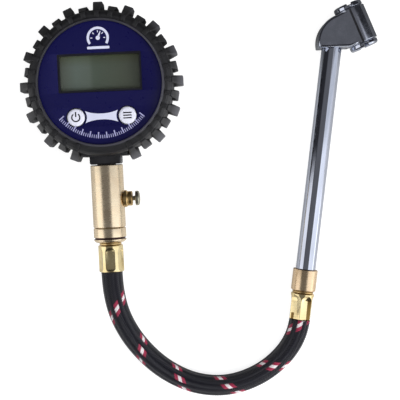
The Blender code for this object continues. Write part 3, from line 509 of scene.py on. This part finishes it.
HOSE_ROUTE = [
    (0.0, -95.3, 15.5), (0.03, -98.3, 15.48), (0.23, -102.79, 15.37), (0.9, -108.7, 15.0), (2.3, -115.5, 14.2),
    (4.8, -122.5, 12.8), (8.2, -129.4, 10.9), (12.5, -135.9, 9.0), (17.5, -141.9, 7.3), (23.3, -147.3, 6.14),
    (29.9, -151.8, 5.58), (37.1, -155.3, 5.46), (44.8, -157.4, 5.46), (52.7, -158.2, 5.47), (60.7, -157.4, 5.46),
    (68.4, -155.2, 5.46), (75.6, -151.8, 5.66), (81.7, -147.5, 6.11), (86.7, -142.7, 6.7), (90.3, -137.9, 7.3),
    (92.7, -133.55, 7.63), (94.11, -129.81, 7.82), (94.8, -127.2, 7.89), (95.16, -125.26, 7.9),
]
CARRIERS = 12  # strands of the braid in each direction
BRAID_PITCH = 26.0  # mm along the hose for one turn of a strand
TRACER_START = 17.9  # mm along the hose to where the white strand first crosses the top
STEPS_PER_CROSSING = 2
LENGTH_POINTS, PATH_POINTS = 400, 240  # to measure the hose's length, and to tell the frame its path
BRAID_RADIUS = 4.74  # mm from the centreline to the middle of the braid
BRAID_SWING = 0.42  # mm that a strand rises or falls as it crosses another
BRAID_FLATNESS = 1.7  # above 1, a strand stays level while it passes two others
YARN_HALF_WIDTH, YARN_HALF_HEIGHT = 0.42, 0.3
YARN_SECTION = [(-1.0, -0.2), (-0.62, 0.62), (0.0, 0.9), (0.62, 0.62), (1.0, -0.2), (0.0, -0.8)]
CORE_RADIUS, CORE_SIDES, CORE_STRIDE = 4.1, 32, 8
BLACK, RED, WHITE, RUBBER = range(4)  # material slots of the hose
TRACERS = {0: WHITE, 1: RED, CARRIERS - 1: RED}  # of the strands that turn the first way; the others are black


def smooth_route(points):
    """A Catmull-Rom curve through the points, with its ends mirrored outwards."""
    points, samples = np.array(points), 12
    padded = np.vstack([2 * points[0] - points[1], points, 2 * points[-1] - points[-2]])
    curve = []
    for a, b, c, d in zip(padded, padded[1:], padded[2:], padded[3:]):
        for index in range(samples):
            t = index / samples
            cubic = 2 * b + (c - a) * t + (2 * a - 5 * b + 4 * c - d) * t**2 + (3 * b - a - 3 * c + d) * t**3
            curve.append(cubic / 2)
    return np.array([*curve, points[-1]])


def even(line, count):
    """The same line, with its points at even distances."""
    along = np.concatenate([[0], np.cumsum(np.linalg.norm(np.diff(line, axis=0), axis=1))])
    steps = np.linspace(0, along[-1], count)
    return np.stack([np.interp(steps, along, line[:, axis]) for axis in range(3)], axis=1)


def hose_line(count):
    """The centreline, eased so that it has no sudden bend. Its ends stay in place."""
    points, passes = 301, 60
    line = even(smooth_route(HOSE_ROUTE), points)
    for _ in range(passes):
        line[2:-2] = (line[1:-3] + 2 * line[2:-2] + line[3:-1]) / 4
    return even(line, count)


def hose_frames(line):
    """For each point of the line, the directions up and to the left of it."""
    along = np.gradient(line, axis=0)
    along /= np.linalg.norm(along, axis=1)[:, None]
    up = np.array([0, 0, 1.0]) - along[:, 2:3] * along
    up /= np.linalg.norm(up, axis=1)[:, None]
    return up, np.cross(up, along)


def skin(rings, slot, points, faces, slots):
    """Adds a tube through rings of points, with closed ends and one material slot."""
    count, sides = rings.shape[:2]
    base = len(points)
    last = base + (count - 1) * sides
    points.extend(rings.reshape(-1, 3) * MM)
    for start in range(base, last, sides):
        for side in range(sides):
            a, b = start + side, start + (side + 1) % sides
            faces.append((a, b, b + sides, a + sides))
    faces += [tuple(range(base, base + sides)), tuple(range(last, last + sides))]
    slots += [slot] * ((count - 1) * sides + 2)


def add_hose():
    """A two over, two under braid of strands that turn both ways, two yarns to a strand, around a rubber core."""
    length = np.linalg.norm(np.diff(hose_line(LENGTH_POINTS), axis=0), axis=1).sum()
    count = round(length / BRAID_PITCH * 2 * CARRIERS) * STEPS_PER_CROSSING + 1
    line = hose_line(count)
    along = np.gradient(line, axis=0) / (length / (count - 1))
    up, left = hose_frames(line)
    travel = np.linspace(0, length, count) - TRACER_START
    lean = math.atan2(2 * math.pi * BRAID_RADIUS, BRAID_PITCH)
    points, faces, slots = [], [], []
    for direction, stagger in ((-1, 0.0), (1, math.radians(15))):
        for carrier in range(CARRIERS):
            for yarn_place in (-0.25, 0.25):
                start = 2 * math.pi * (carrier + yarn_place) / CARRIERS + stagger
                angle = start + direction * 2 * math.pi * travel / BRAID_PITCH
                wave = np.clip(BRAID_FLATNESS * np.cos(CARRIERS / 2 * angle), -1, 1)
                rings = []
                for across, high in YARN_SECTION:
                    shift = across * YARN_HALF_WIDTH
                    radius = BRAID_RADIUS - direction * wave * BRAID_SWING + high * YARN_HALF_HEIGHT
                    turn = angle + shift * math.cos(lean) / BRAID_RADIUS
                    outwards = np.cos(turn)[:, None] * up + np.sin(turn)[:, None] * left
                    slide = -direction * shift * math.sin(lean)
                    rings.append(line + along * slide + radius[:, None] * outwards)
                slot = TRACERS.get(carrier, BLACK) if direction < 0 else BLACK
                skin(np.stack(rings, axis=1), slot, points, faces, slots)
    core = []
    for side in range(CORE_SIDES):
        turn = 2 * math.pi * side / CORE_SIDES
        core.append(line + CORE_RADIUS * (math.cos(turn) * up + math.sin(turn) * left))
    skin(np.stack(core, axis=1)[::CORE_STRIDE], RUBBER, points, faces, slots)
    mesh = mesh_of("hose_braid_sleeve", points, faces)
    mesh.polygons.foreach_set("material_index", slots)
    hose = new_object("hose_braid_sleeve", mesh, UPRIGHT, [YARN_BLACK, YARN_RED, YARN_WHITE, SEAL], 60.0)
    return piece(hose, "hose_line", "hose_braid", "hose")


# ---------------------------------------------------------------- the boot


def boot_outline():
    """The moulding's section: a bead at the dial's edge, a shallow dish, a shoulder and the tread's base."""
    front = [(30.5, 30.3), (30.7, 30.85), (31.1, 31.0), (31.6, 30.95), (31.9, 30.5), (33.3, 30.4), (34.6, 29.9)]
    front += [(35.6, 28.7), (36.1, 26.8), (36.2, 24.0), (35.7, 15.5)]
    back = [(36.2, 7.0), (36.1, 4.2), (35.6, 2.3), (34.6, 1.1), (33.3, 0.5), (31.9, 0.45), (31.6, 0.05), (29.7, 0.0)]
    inside = [(29.3, 0.3), (29.3, 1.6), (31.8, 1.6), (31.8, 29.4), (30.5, 29.4)]
    return front + back + inside


def lug(name, crown_radius, angle):
    """One tread lug, widest and highest at mid-depth, a little narrower at its tip than at its foot."""
    foot_radius, end_radius, narrowing = 34.2, 35.9, 0.86
    end = (13.9, end_radius, 1.7)  # height from the middle, radius, half width
    crown = (5.5, crown_radius, 2.7)
    points = []
    for side, (height, outer, half) in ((-1, end), (-1, crown), (1, crown), (1, end)):
        z, tip = STEM_Z + side * height, half * narrowing
        points += [(foot_radius, -half, z), (outer, -tip, z), (outer, tip, z), (foot_radius, half, z)]
    faces = [(0, 1, 2, 3), (15, 14, 13, 12)]
    for level in range(3):
        for side in range(4):
            a, b = level * 4 + side, level * 4 + (side + 1) % 4
            faces.append((a, a + 4, b + 4, b))
    mesh = mesh_of(name, [Vector(p) * MM for p in points], faces)
    work = bmesh.new()
    work.from_mesh(mesh)
    bmesh.ops.bevel(work, geom=work.edges, offset=0.45 * MM, segments=3, profile=0.6, affect="EDGES")
    work.to_mesh(mesh)
    work.free()
    return new_object(name, mesh, Matrix.Rotation(angle, 4, "Z"), [BOOT])


def add_boot():
    """The moulding with its square neck, and lugs, long and short in turn, with ribs over both sidewalls."""
    boot = lathe("boot_moulding", boot_outline(), UPRIGHT, BOOT, 192, 0.12)
    combine(boot, [block("pad", (-11.5, -36.4, 6), (11.5, -33, 25), bevel=0.6)], "UNION")
    half = 8.05
    combine(boot, [block("neck", (-half, -45, STEM_Z - half), (half, -30, STEM_Z + half))])
    boot.data.materials.clear()
    boot.data.materials.append(BOOT)
    pitch = math.radians(11.25)
    places = range(2, 31)  # of 32; the neck takes the other three
    sidewalls = ((29.2, 30.96), (0.04, 1.8))
    rib_end, rib_half = 35.0, 1.15
    extras = []
    for place in places:
        crown_radius, rib_start = (41.0, 31.95) if place % 2 == 0 else (39.0, 32.3)
        angle = place * pitch - math.pi / 2
        extras.append(lug(f"lug_{place}", crown_radius, angle))
        turn = Matrix.Rotation(angle, 4, "Z")
        for low, high in sidewalls:
            extras.append(block("rib", (rib_start, -rib_half, low), (rib_end, rib_half, high), turn, 0.25))
    join(boot, extras)
    piece(boot, "gauge_head", "black_rubber", "tread_boot")


# ---------------------------------------------------------------- the dial

KEY_X, KEY_Y, KEY_TOP = 12.75, -16.7, 29.7
FILM_TOP = 29.1
INK_DEPTH = 0.03


def bow_tie():
    """The white bar between the keys: hollow towards each key, and narrow in the middle."""
    ring, half_end, waist, steps, steepness = 5.45, 2.95, 1.45, 24, 2.2
    reach = math.asin(half_end / ring)
    left = circle(-KEY_X, KEY_Y, ring, 14, -reach, reach)
    right = circle(KEY_X, KEY_Y, ring, 14, math.pi - reach, math.pi + reach)
    start, end = left[-1][0], right[0][0]
    top = []
    for index in range(1, steps):
        t = index / steps
        top.append((start + (end - start) * t, KEY_Y + waist + (half_end - waist) * abs(2 * t - 1) ** steepness))
    bottom = [(x, 2 * KEY_Y - y) for x, y in reversed(top)]
    return left + top + right + bottom


def spoke(angle, inner, outer, half_width):
    """A short bar that points outwards from the dial's centre."""
    c, s = math.cos(angle), math.sin(angle)
    corners = ((inner, -half_width), (outer, -half_width), (outer, half_width), (inner, half_width))
    return [(r * c - w * s, r * s + w * c) for r, w in corners]


def moved(loop, x, y, turn=0.0):
    c, s = math.cos(turn), math.sin(turn)
    return [(x + c * a - s * b, y + s * a + c * b) for a, b in loop]


def printed(name, loops, low, high, material, place=UPRIGHT):
    """Ink in one or more separate shapes, as one object."""
    shapes = [plate(f"{name}_{index}", [loop], low, high, material, place) for index, loop in enumerate(loops)]
    made = join(shapes[0], shapes[1:])
    made.name = name
    return made


def dial_ticks():
    """Ticks along the dial's lower edge, with a longer and wider one at every fourth place."""
    count, spread, every, outer = 45, 100, 4, 27.5
    ticks = []
    for index in range(count):
        angle = math.radians(-90 + (index / (count - 1) - 0.5) * spread)
        inner, half_width = (24.4, 0.3) if index % every == 0 else (25.8, 0.18)
        ticks.append(spoke(angle, inner, outer, half_width))
    return ticks


def pictogram():
    """A small gauge over a bar: an arc, five ticks, a hub, and a needle that points between two ticks."""
    y, needle_turn = 22.0, math.radians(-22.5)
    start, end = math.radians(-35), math.radians(215)
    loops = [circle(0, y, 5.5, 48, start, end) + circle(0, y, 4.3, 48, end, start)]
    for degrees in (0, 45, 90, 135, 180):
        loops.append(moved(spoke(math.radians(degrees), 2.7, 3.7, 0.22), 0, y))
    loops.append(moved([(-0.5, 1.08), (0.5, 1.08), (0.15, 3.6), (-0.15, 3.6)], 0, y, needle_turn))
    return [*loops, circle(0, y, 1.05, 24), rounded_box(0, 17.2, 11.0, 1.3, 0.4)]


def add_dial():
    window = rounded_box(0, 5.1, 41.4, 19.2, 0.5)
    holes = [circle(side * KEY_X, KEY_Y, 4.8) for side in (-1, 1)]
    film = plate("dial_film", [circle(0, 0, 30.9, 160), window, *holes], 28.7, FILM_TOP, DIAL, edge=0.06)
    piece(film, "gauge_head", "navy_film", "face_overlay")
    prints = {"dial_scale": (dial_ticks(), INK_LILAC), "dial_print": ([bow_tie(), *pictogram()], INK_WHITE)}
    for name, (loops, material) in prints.items():
        ink = printed(name, loops, FILM_TOP, FILM_TOP + INK_DEPTH, material)
        piece(ink, "gauge_head", "white_plastic")


def add_key(name, x, sign):
    place = move(x, KEY_Y, 0)
    outline = [(0, KEY_TOP), (2.2, KEY_TOP - 0.02), (3.4, KEY_TOP - 0.1), (4.05, KEY_TOP - 0.35), (4.35, KEY_TOP - 0.9)]
    outline += [(4.35, 25.9), (5.2, 25.9), (5.2, 25.0), (1.8, 25.0), (1.8, 24.5), (0, 24.5)]
    cap = lathe(f"key_cap_{name}", outline, place, KEY_WHITE, 72, 0.15)
    piece(cap, f"{name}_key", "white_plastic", f"key_{name}")
    ink = printed(f"key_sign_{name}", sign, KEY_TOP - 0.02, KEY_TOP + INK_DEPTH, INK_BLACK, place)
    piece(ink, f"{name}_key", "black_plastic")


def add_keys():
    power = [circle(0, 0, 2.3, 40, math.radians(125), math.radians(415))
             + circle(0, 0, 1.65, 40, math.radians(415), math.radians(125)),
             [(-0.33, 0.3), (0.33, 0.3), (0.33, 2.7), (-0.33, 2.7)]]
    bars = [rounded_box(0, y, 4.2, 0.62, 0.2) for y in (-1.3, 0.0, 1.3)]
    add_key("on", -KEY_X, power)
    add_key("func", KEY_X, bars)


# ---------------------------------------------------------------- stem, bleed valve and swivel


def is_in_swivel_groove(point):
    return 77.3 < point.z / MM < 78.4 and math.hypot(point.x, point.y) / MM > 7.0


def add_stem():
    barrel = [(5.1, 40.6), (7.85, 40.6), (8.25, 41.0), (8.25, 72.05), (7.95, 72.35), (6.5, 72.35), (6.5, 67.3)]
    barrel += [(2.0, 67.3), (2.0, 50.6), (5.1, 50.6)]
    body = lathe("valve_barrel", barrel, STEM, BRASS_SATIN, 128)
    chamber = [(0, -5.6), (2.9, -5.6), (2.9, 4.7), (3.5, 4.7), (3.5, 10), (0, 10)]
    bore = lathe("bore", chamber, BLEED, BRASS_SATIN, 48, 0.001)
    face = lathe("face", [(0, 7.75), (4.6, 7.75), (4.6, 10), (0, 10)], BLEED, BRASS_SATIN, 64)
    piece(combine(body, [bore, face]), "gauge_head", "brass", "valve_body")

    collar = [(4.9, 67.6), (6.2, 67.6), (6.2, 72.65), (7.95, 72.65), (8.25, 72.95), (8.25, 77.35), (7.65, 77.6)]
    collar += [(7.65, 78.1), (8.25, 78.35), (8.2, 78.9), (7.7, 79.5), (6.9, 80.0)]
    collar += [(3.4, 80.0), (3.4, 71.3), (4.9, 71.3)]
    nut = lathe("swivel_nut", collar, STEM, BRASS_SATIN, 128, 0.1)
    darken(nut, is_in_swivel_groove, PATINA)
    piece(nut, "gauge_head", "brass", "swivel_collar")

    bush = [(1.45, 5.0), (3.2, 5.0), (3.2, 8.1), (4.3, 8.1), (4.3, 9.3), (4.1, 9.6), (3.8, 9.8), (3.75, 10.1)]
    bush += [(3.6, 10.2), (3.75, 10.4), (3.7, 12.0), (3.3, 12.4), (1.45, 12.4)]
    piece(lathe("bleed_bush_turned", bush, BLEED, BRASS_DARK, 72, 0.12), "gauge_head", "brass", "bleed_bush")
    button = [(0, 2.6), (2.3, 2.6), (2.3, 3.6), (1.15, 3.6), (1.15, 13.3), (1.4, 13.73), (3.5, 13.8), (3.75, 14.05)]
    button += [(3.77, 15.2), (3.45, 15.7), (2.4, 16.05), (1.2, 16.2), (0, 16.25)]
    piece(lathe("bleed_knob", button, BLEED, KNOB_METAL, 72, 0.12), "bleed_plunger", "brass", "bleed_button")


def nipple(name, outline, place, node):
    piece(lathe(name, outline, place, BRASS_DARK, 64, 0.1), "hose_line", "brass", node)


def barbs(start, end):
    """The outline of three barbs on a hose nipple."""
    count, low, high = 3, 2.9, 3.4
    step = (end - start) / count
    points = []
    for index in range(count):
        points += [(high, start + index * step), (low, start + (index + 0.9) * step)]
    return points


def add_ferrule(name, radius, start, end, place, first_flute, ridge, depth, foot, node):
    """A crimped sleeve: six flutes with round ends are pressed into it, and leave ridges between them.

    The ridge is half the width of a ridge. The depth is a flute's at its start, and the foot is the plain length
    after its end, where a negative one lets it run out of the sleeve.
    """
    around, along, flutes = 288, 96, 6
    inner_radius, rim_radius, plain_start = 3.8, 0.45, 1.1
    shallower, bluntness = 0.4, 1.6
    pitch = 2 * math.pi / flutes
    half = pitch / 2 * radius - ridge
    length = end - start
    angles = [2 * math.pi * index / around for index in range(around)]
    points = []
    for step in range(along + 1):
        v = step / along * length
        rim = min(v, length - v, rim_radius)
        ease = rim_radius - rim_radius * math.sqrt(max(0.0, 1 - (1 - rim / rim_radius) ** 2))
        before, after = plain_start + half - v, (v - (length - foot - half * 0.5)) * bluntness
        for angle in angles:
            u = (((angle - first_flute + pitch / 2) % pitch) - pitch / 2) * radius
            inside = min(math.hypot(u, max(before, after, 0.0)) / half, 1.0)
            pressed = depth * (1 - shallower * v / length) * (1 - inside**2)
            points.append(polar(radius - pressed - ease, angle, start + v))
    points += [polar(inner_radius, angle, z) for z in (end, start) for angle in angles]
    rings = [list(range(first, first + around)) for first in range(0, len(points), around)]
    obj = new_object(name, mesh_of(name, points, faces_between(rings, True)), place, [BRASS_BRIGHT], 60.0)
    return piece(obj, "hose_line", "brass", node)


# Degrees around the chuck's crimp from and to, and the lowest height in mm, of its tarnished patches.
STAINS = ((40, 59, 128.2), (136, 152, 135.4))


def is_stained(point):
    angle, height = math.degrees(math.atan2(point.y, point.x)), point.z / MM
    return any(start < angle < end and height > low for start, end, low in STAINS)


def add_hose_ends():
    gauge = [(1.6, 69.0), (4.6, 69.0), (4.6, 71.0), (3.1, 71.0), (3.1, 80.4), (5.6, 80.4), (5.6, 81.1), (2.9, 81.1)]
    nipple("nipple_gauge_end", [*gauge, *barbs(82.0, 94.0), (1.6, 94.2)], STEM, "hose_nipple_gauge")
    chuck = [(1.6, 119.5), (4.4, 119.5), (4.4, 124.3), (5.4, 124.3), (5.4, 124.9), (2.9, 124.9)]
    nipple("nipple_chuck_end", [*chuck, *barbs(125.8, 137.8), (1.6, 138.0)], TUBE, "hose_nipple_chuck")
    add_ferrule("crimp_gauge_end", 6.35, 81.4, 95.0, STEM, math.radians(90), 0.85, 1.0, 0.9,
                "ferrule_gauge")
    chuck_crimp = add_ferrule("crimp_chuck_end", 6.0, 125.2, 138.8, TUBE, math.radians(69), 0.1, 1.5, -4.0,
                              "ferrule_chuck")
    darken(chuck_crimp, is_stained, TARNISH)


# ---------------------------------------------------------------- the chuck


def add_tube():
    tube = [(3.6, -8.0), (5.1, -8.0), (5.1, 117.6), (3.6, 117.6)]
    piece(lathe("chuck_pipe", tube, TUBE, CHROME, 128), "hose_line", "chrome", "chuck_tube")
    coupling = [(5.4, 113.4), (5.9, 112.85), (6.15, 112.8), (6.35, 113.05), (6.35, 123.4), (5.75, 124.0), (4.7, 124.0)]
    coupling += [(4.7, 119.2), (5.4, 119.2)]
    nut = lathe("coupling_nut", coupling, TUBE, BRASS_TAN, 128, 0.1)
    end_face = 112.98
    darken(nut, lambda centre: centre.z / MM < end_face, PATINA)
    piece(nut, "hose_line", "brass", "coupling")


def head_outline():
    centre, radius = (-8.6, -5.8), 14.55
    back = circle(*centre, radius, 40, math.radians(168.5), math.radians(90))
    end = centre[1] + radius
    return [*back, (0, end), (0, -end), (-7.9, -end)]


def rod(name, radius, low, high, place, segments=64):
    return lathe(name, [(0, low), (radius, low), (radius, high), (0, high)], place, CHROME_CAST, segments, 0.001)


BOSS_RADIUS, BOSS_HALF = 7.9, 9.05
GROOVE_X, GROOVE_RADIUS = 0.9, 0.55


def is_in_groove(point):
    """Whether a point in the boss's frame lies on one of the two grooves beside the slab."""
    margin = 0.05
    return math.hypot(point.x / MM - GROOVE_X, abs(point.y / MM) - BOSS_RADIUS) < GROOVE_RADIUS + margin


def add_head():
    """A casting: a thick slab with a round back and softened rims, joined to the boss that holds both ports."""
    slab = plate("chuck_casting", [head_outline()], -7.6, 7.6, CHROME_CAST, HEAD, edge=1.7, rounds=4)
    along = HEAD @ pointing((0, 1, 0))
    outline = [(0, -BOSS_HALF), (BOSS_RADIUS, -BOSS_HALF), (BOSS_RADIUS, BOSS_HALF), (0, BOSS_HALF)]
    combine(slab, [lathe("boss", outline, along, CHROME_CAST, 128, 0.35)], "UNION")
    cutters = []
    for side in (-1, 1):
        place = along @ move(GROOVE_X, side * BOSS_RADIUS, 0)
        cutters.append(rod("groove", GROOVE_RADIUS, -9.6, 9.6, place, 20))
    for side in (1, -1):
        port = HEAD @ pointing((0, side, 0))
        cutters.append(rod("thread", 6.4, 4.7, 12, port))
        cutters.append(rod("chamber", 3.7, 0.6, 5.5, port))
    cutters.append(rod("socket", 5.4, -10, 8.3, CHUCK @ pointing((0, 1, 0))))
    combine(slab, cutters)
    to_boss = along.inverted() @ HEAD
    # Painted shade: the faces in the grooves get the near-black material.
    darken(slab, lambda centre: is_in_groove(to_boss @ centre), GROOVE_SHADE)
    piece(slab, "hose_line", "chrome", "chuck_head")


def add_port(name, side):
    port = HEAD @ pointing((0, side, 0))
    collar = [(4.35, 7.2), (6.1, 7.2), (6.1, 9.35), (7.15, 9.35), (7.4, 9.6), (7.4, 10.9), (7.1, 11.55), (6.5, 11.9)]
    collar += [(4.95, 11.9), (4.35, 11.35)]
    nut = lathe(f"port_nut_{name}", collar, port, CHROME, 128, 0.1)
    turn = Matrix.Rotation(math.pi if side < 0 else 0.0, 4, "Z")
    combine(nut, [block("slot", (-1.3, 10.2, -9), (1.3, 13, 9), HEAD @ turn)])
    piece(nut, "hose_line", "chrome", f"port_collar_{name}")
    washer = [(2.3, 5.0), (6.1, 5.0), (6.1, 6.9), (2.3, 6.9)]
    piece(lathe(f"port_seal_{name}", washer, port, SEAL, 64), "hose_line", "black_rubber", f"port_washer_{name}")
    pin = [(0, 3.4), (3.3, 3.4), (3.3, 4.4), (1.1, 4.4), (1.1, 6.7), (0.7, 7.2), (0, 7.2)]
    depressor = lathe(f"depressor_pin_{name}", pin, port, BRASS_DARK, 48, 0.1)
    piece(depressor, f"{name}_depressor", "brass", f"depressor_{name}")


# ---------------------------------------------------------------- carried-over CAD nodes

CAD_LOOKS = {
    "case_back": BLACK_PLASTIC, "case_front": BLACK_PLASTIC, "battery_cover": BLACK_PLASTIC,
    "battery_cover_screw": STEEL, "case_screw": STEEL, "lcd_window": CLEAR, "lcd_panel": DISPLAY,
    "backlight_plate": MILKY, "zebra_strip": SEAL, "circuit_board": BOARD, "board_screw": STEEL,
    "switch_plunger": BLACK_PLASTIC, "switch_body": BLACK_METAL, "battery_link": STEEL, "battery_contact": STEEL,
    "battery_1": WRAP, "battery_2": WRAP, "gauge_socket": BLACK_METAL, "pressure_sensor": STEEL,
    "sensor_seal": SEAL, "socket_seal": SEAL, "sensor_ribbon": WRAP, "bleed_seal": SEAL, "bleed_spring": STEEL,
    "swivel_seal": SEAL, "tube_washer": SEAL, "depressor_spring": STEEL,
}


def dress_cad_nodes():
    """Gives each CAD node that stays visible the look with the longest name that its own name starts with."""
    for name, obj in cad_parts.items():
        if obj.hide_render:
            continue
        found = [key for key in CAD_LOOKS if name.startswith(key)]
        obj.data.materials.clear()
        obj.data.materials.append(CAD_LOOKS[max(found, key=len)])


# ---------------------------------------------------------------- studio

LIGHT_AIM = Vector((0.045, -0.06, 0.0))
# Each panel's level, colour, azimuth, half width, and low and high elevation.
PANELS = (
    (1.25, (1.0, 1.0, 1.02), 201, 29, -20, 49),
    (1.35, (0.98, 1.0, 1.05), -21, 17, 13, 66),
    (0.8, (0.97, 1.0, 1.07), 4, 8, 13, 66),
    (2.2, (1.0, 1.0, 1.03), -38, 26, -20, 13),
    (0.9, (1.0, 1.0, 1.03), 0, 12, -20, 13),
    (0.35, (1.0, 1.0, 1.05), 21, 9, 54, 66),
)


def add_area_light(name, place, size, power):
    """A soft light on the matte surfaces only. Gloss comes from the panels of the world."""
    data = bpy.data.lights.new(name, "AREA")
    data.shape = "RECTANGLE"
    data.size, data.size_y = size
    data.energy = power
    obj = bpy.data.objects.new(name, data)
    obj.location = place
    obj.rotation_mode = "QUATERNION"
    obj.rotation_quaternion = (Vector(place) - LIGHT_AIM).to_track_quat("Z", "Y")
    obj.visible_glossy = False
    bpy.context.scene.collection.objects.link(obj)


class World:
    """Bright panels on a dark surround, placed by azimuth and elevation in degrees."""

    def __init__(self):
        world = bpy.data.worlds.new("studio")
        bpy.context.scene.world = world
        world.use_nodes = True
        self.tree = world.node_tree
        direction = self.tree.nodes.new("ShaderNodeTexCoord").outputs["Generated"]
        split = self.tree.nodes.new("ShaderNodeSeparateXYZ")
        self.tree.links.new(direction, split.inputs[0])
        self.x, self.y, self.z = split.outputs
        self.elevation = self.math("ARCSINE", self.z)
        self.total = None

    def math(self, operation, first, second=0.0):
        node = self.tree.nodes.new("ShaderNodeMath")
        node.operation = operation
        for socket, value in zip(node.inputs, (first, second)):
            if isinstance(value, bpy.types.NodeSocket):
                self.tree.links.new(value, socket)
            else:
                socket.default_value = value
        return node.outputs[0]

    def step(self, value, start, end):
        """Rises smoothly from 0 to 1 between two angles in degrees."""
        node = self.tree.nodes.new("ShaderNodeMapRange")
        node.interpolation_type = "SMOOTHSTEP"
        self.tree.links.new(value, node.inputs["Value"])
        node.inputs["From Min"].default_value = math.radians(start)
        node.inputs["From Max"].default_value = math.radians(end)
        return node.outputs["Result"]

    def azimuth_from(self, degrees):
        """The angle around the vertical from an azimuth, in radians from -pi to pi."""
        c, s = math.cos(math.radians(degrees)), math.sin(math.radians(degrees))
        ahead = self.math("ADD", self.math("MULTIPLY", self.x, c), self.math("MULTIPLY", self.y, s))
        aside = self.math("SUBTRACT", self.math("MULTIPLY", self.y, c), self.math("MULTIPLY", self.x, s))
        return self.math("ARCTAN2", aside, ahead)

    def window(self, value, low, high):
        """1 between two angles and 0 beyond them, with a soft edge."""
        soft = 4.0
        rise = self.step(value, low - soft, low + soft)
        fall = self.step(value, high - soft, high + soft)
        return self.math("SUBTRACT", rise, fall)

    def panel(self, level, colour, centre, half_width, low, high):
        """A panel around an azimuth, between two elevations."""
        across = self.window(self.azimuth_from(centre), -half_width, half_width)
        mask = self.math("MULTIPLY", across, self.window(self.elevation, low, high))
        self.add(mask, level, colour)

    def add(self, mask, level, colour):
        scale = self.tree.nodes.new("ShaderNodeVectorMath")
        scale.operation = "SCALE"
        scale.inputs[0].default_value = [channel * level for channel in colour]
        self.tree.links.new(mask, scale.inputs["Scale"])
        if self.total is None:
            self.total = scale.outputs[0]
            return
        both = self.tree.nodes.new("ShaderNodeMix")
        both.data_type, both.blend_type, both.clamp_result = "RGBA", "ADD", False
        both.inputs[MIX_FACTOR].default_value = 1.0
        self.tree.links.new(self.total, both.inputs[MIX_FIRST])
        self.tree.links.new(scale.outputs[0], both.inputs[MIX_SECOND])
        self.total = both.outputs[MIX_RESULT]

    def finish(self):
        self.tree.links.new(self.total, self.tree.nodes["Background"].inputs["Color"])


def add_world():
    """A faint light from everywhere, the panels, and a soft light from above."""
    world = World()
    world.add(world.step(world.elevation, -91, -90), 0.035, (1.0, 1.0, 1.1))
    for panel in PANELS:
        world.panel(*panel)
    world.add(world.step(world.elevation, 48, 62), 0.13, (1.0, 1.0, 1.04))
    world.finish()


def add_floor():
    """Pale paper. It glows a little where it is seen directly, which keeps it white beside the dark rubber.

    Where it is only reflected, it is grey, and darker beyond the dial's middle.
    """
    look = Look("floor_paper", Roughness=0.9, Specular_IOR_Level=0.1, Emission_Color=(1.0, 1.0, 1.0, 1.0))
    split = look.node("ShaderNodeSeparateXYZ", {"Vector": look.object_coordinates}).outputs
    fade_start, fade_end = -0.1, 0.03
    fade = look.remap(split["Y"], fade_start, fade_end, 0.0, 1.0)
    direct = look.node("ShaderNodeLightPath").outputs["Is Camera Ray"]
    reflected = look.ramp(fade, (0.0, (0.62, 0.62, 0.62)), (0.8, (0.5, 0.5, 0.5)), (0.95, (0.1, 0.1, 0.1)))
    paper = look.ramp(look.noise(800.0, 3.0), (0.3, (0.36, 0.36, 0.36)), (0.7, (0.4, 0.4, 0.4)))
    look.set("Base Color", look.blend("MIX", reflected, paper, direct))
    look.set("Emission Strength", look.remap(direct, 0.0, 1.0, 0.02, 0.78))
    size, height = 6.0, -0.0002
    mesh = bpy.data.meshes.new("floor")
    corners = [(-size, -size), (size, -size), (size, size), (-size, size)]
    mesh.from_pydata([(x, y, height) for x, y in corners], [], [(0, 1, 2, 3)])
    new_object("floor", mesh, UPRIGHT, [look.material])


hose = add_hose()
add_boot()
add_dial()
add_keys()
add_stem()
add_hose_ends()
add_tube()
add_head()
add_port("forward", -1)
add_port("reverse", 1)
dress_cad_nodes()
add_world()
add_floor()
add_area_light("top", (0.05, -0.05, 1.3), (1.2, 1.2), 12.0)
add_area_light("side", (0.9, -0.45, 0.5), (0.5, 0.5), 9.0)
bpy.context.scene.view_settings.view_transform = "Standard"

hose_path = [list(point * MM) for point in hose_line(PATH_POINTS)]
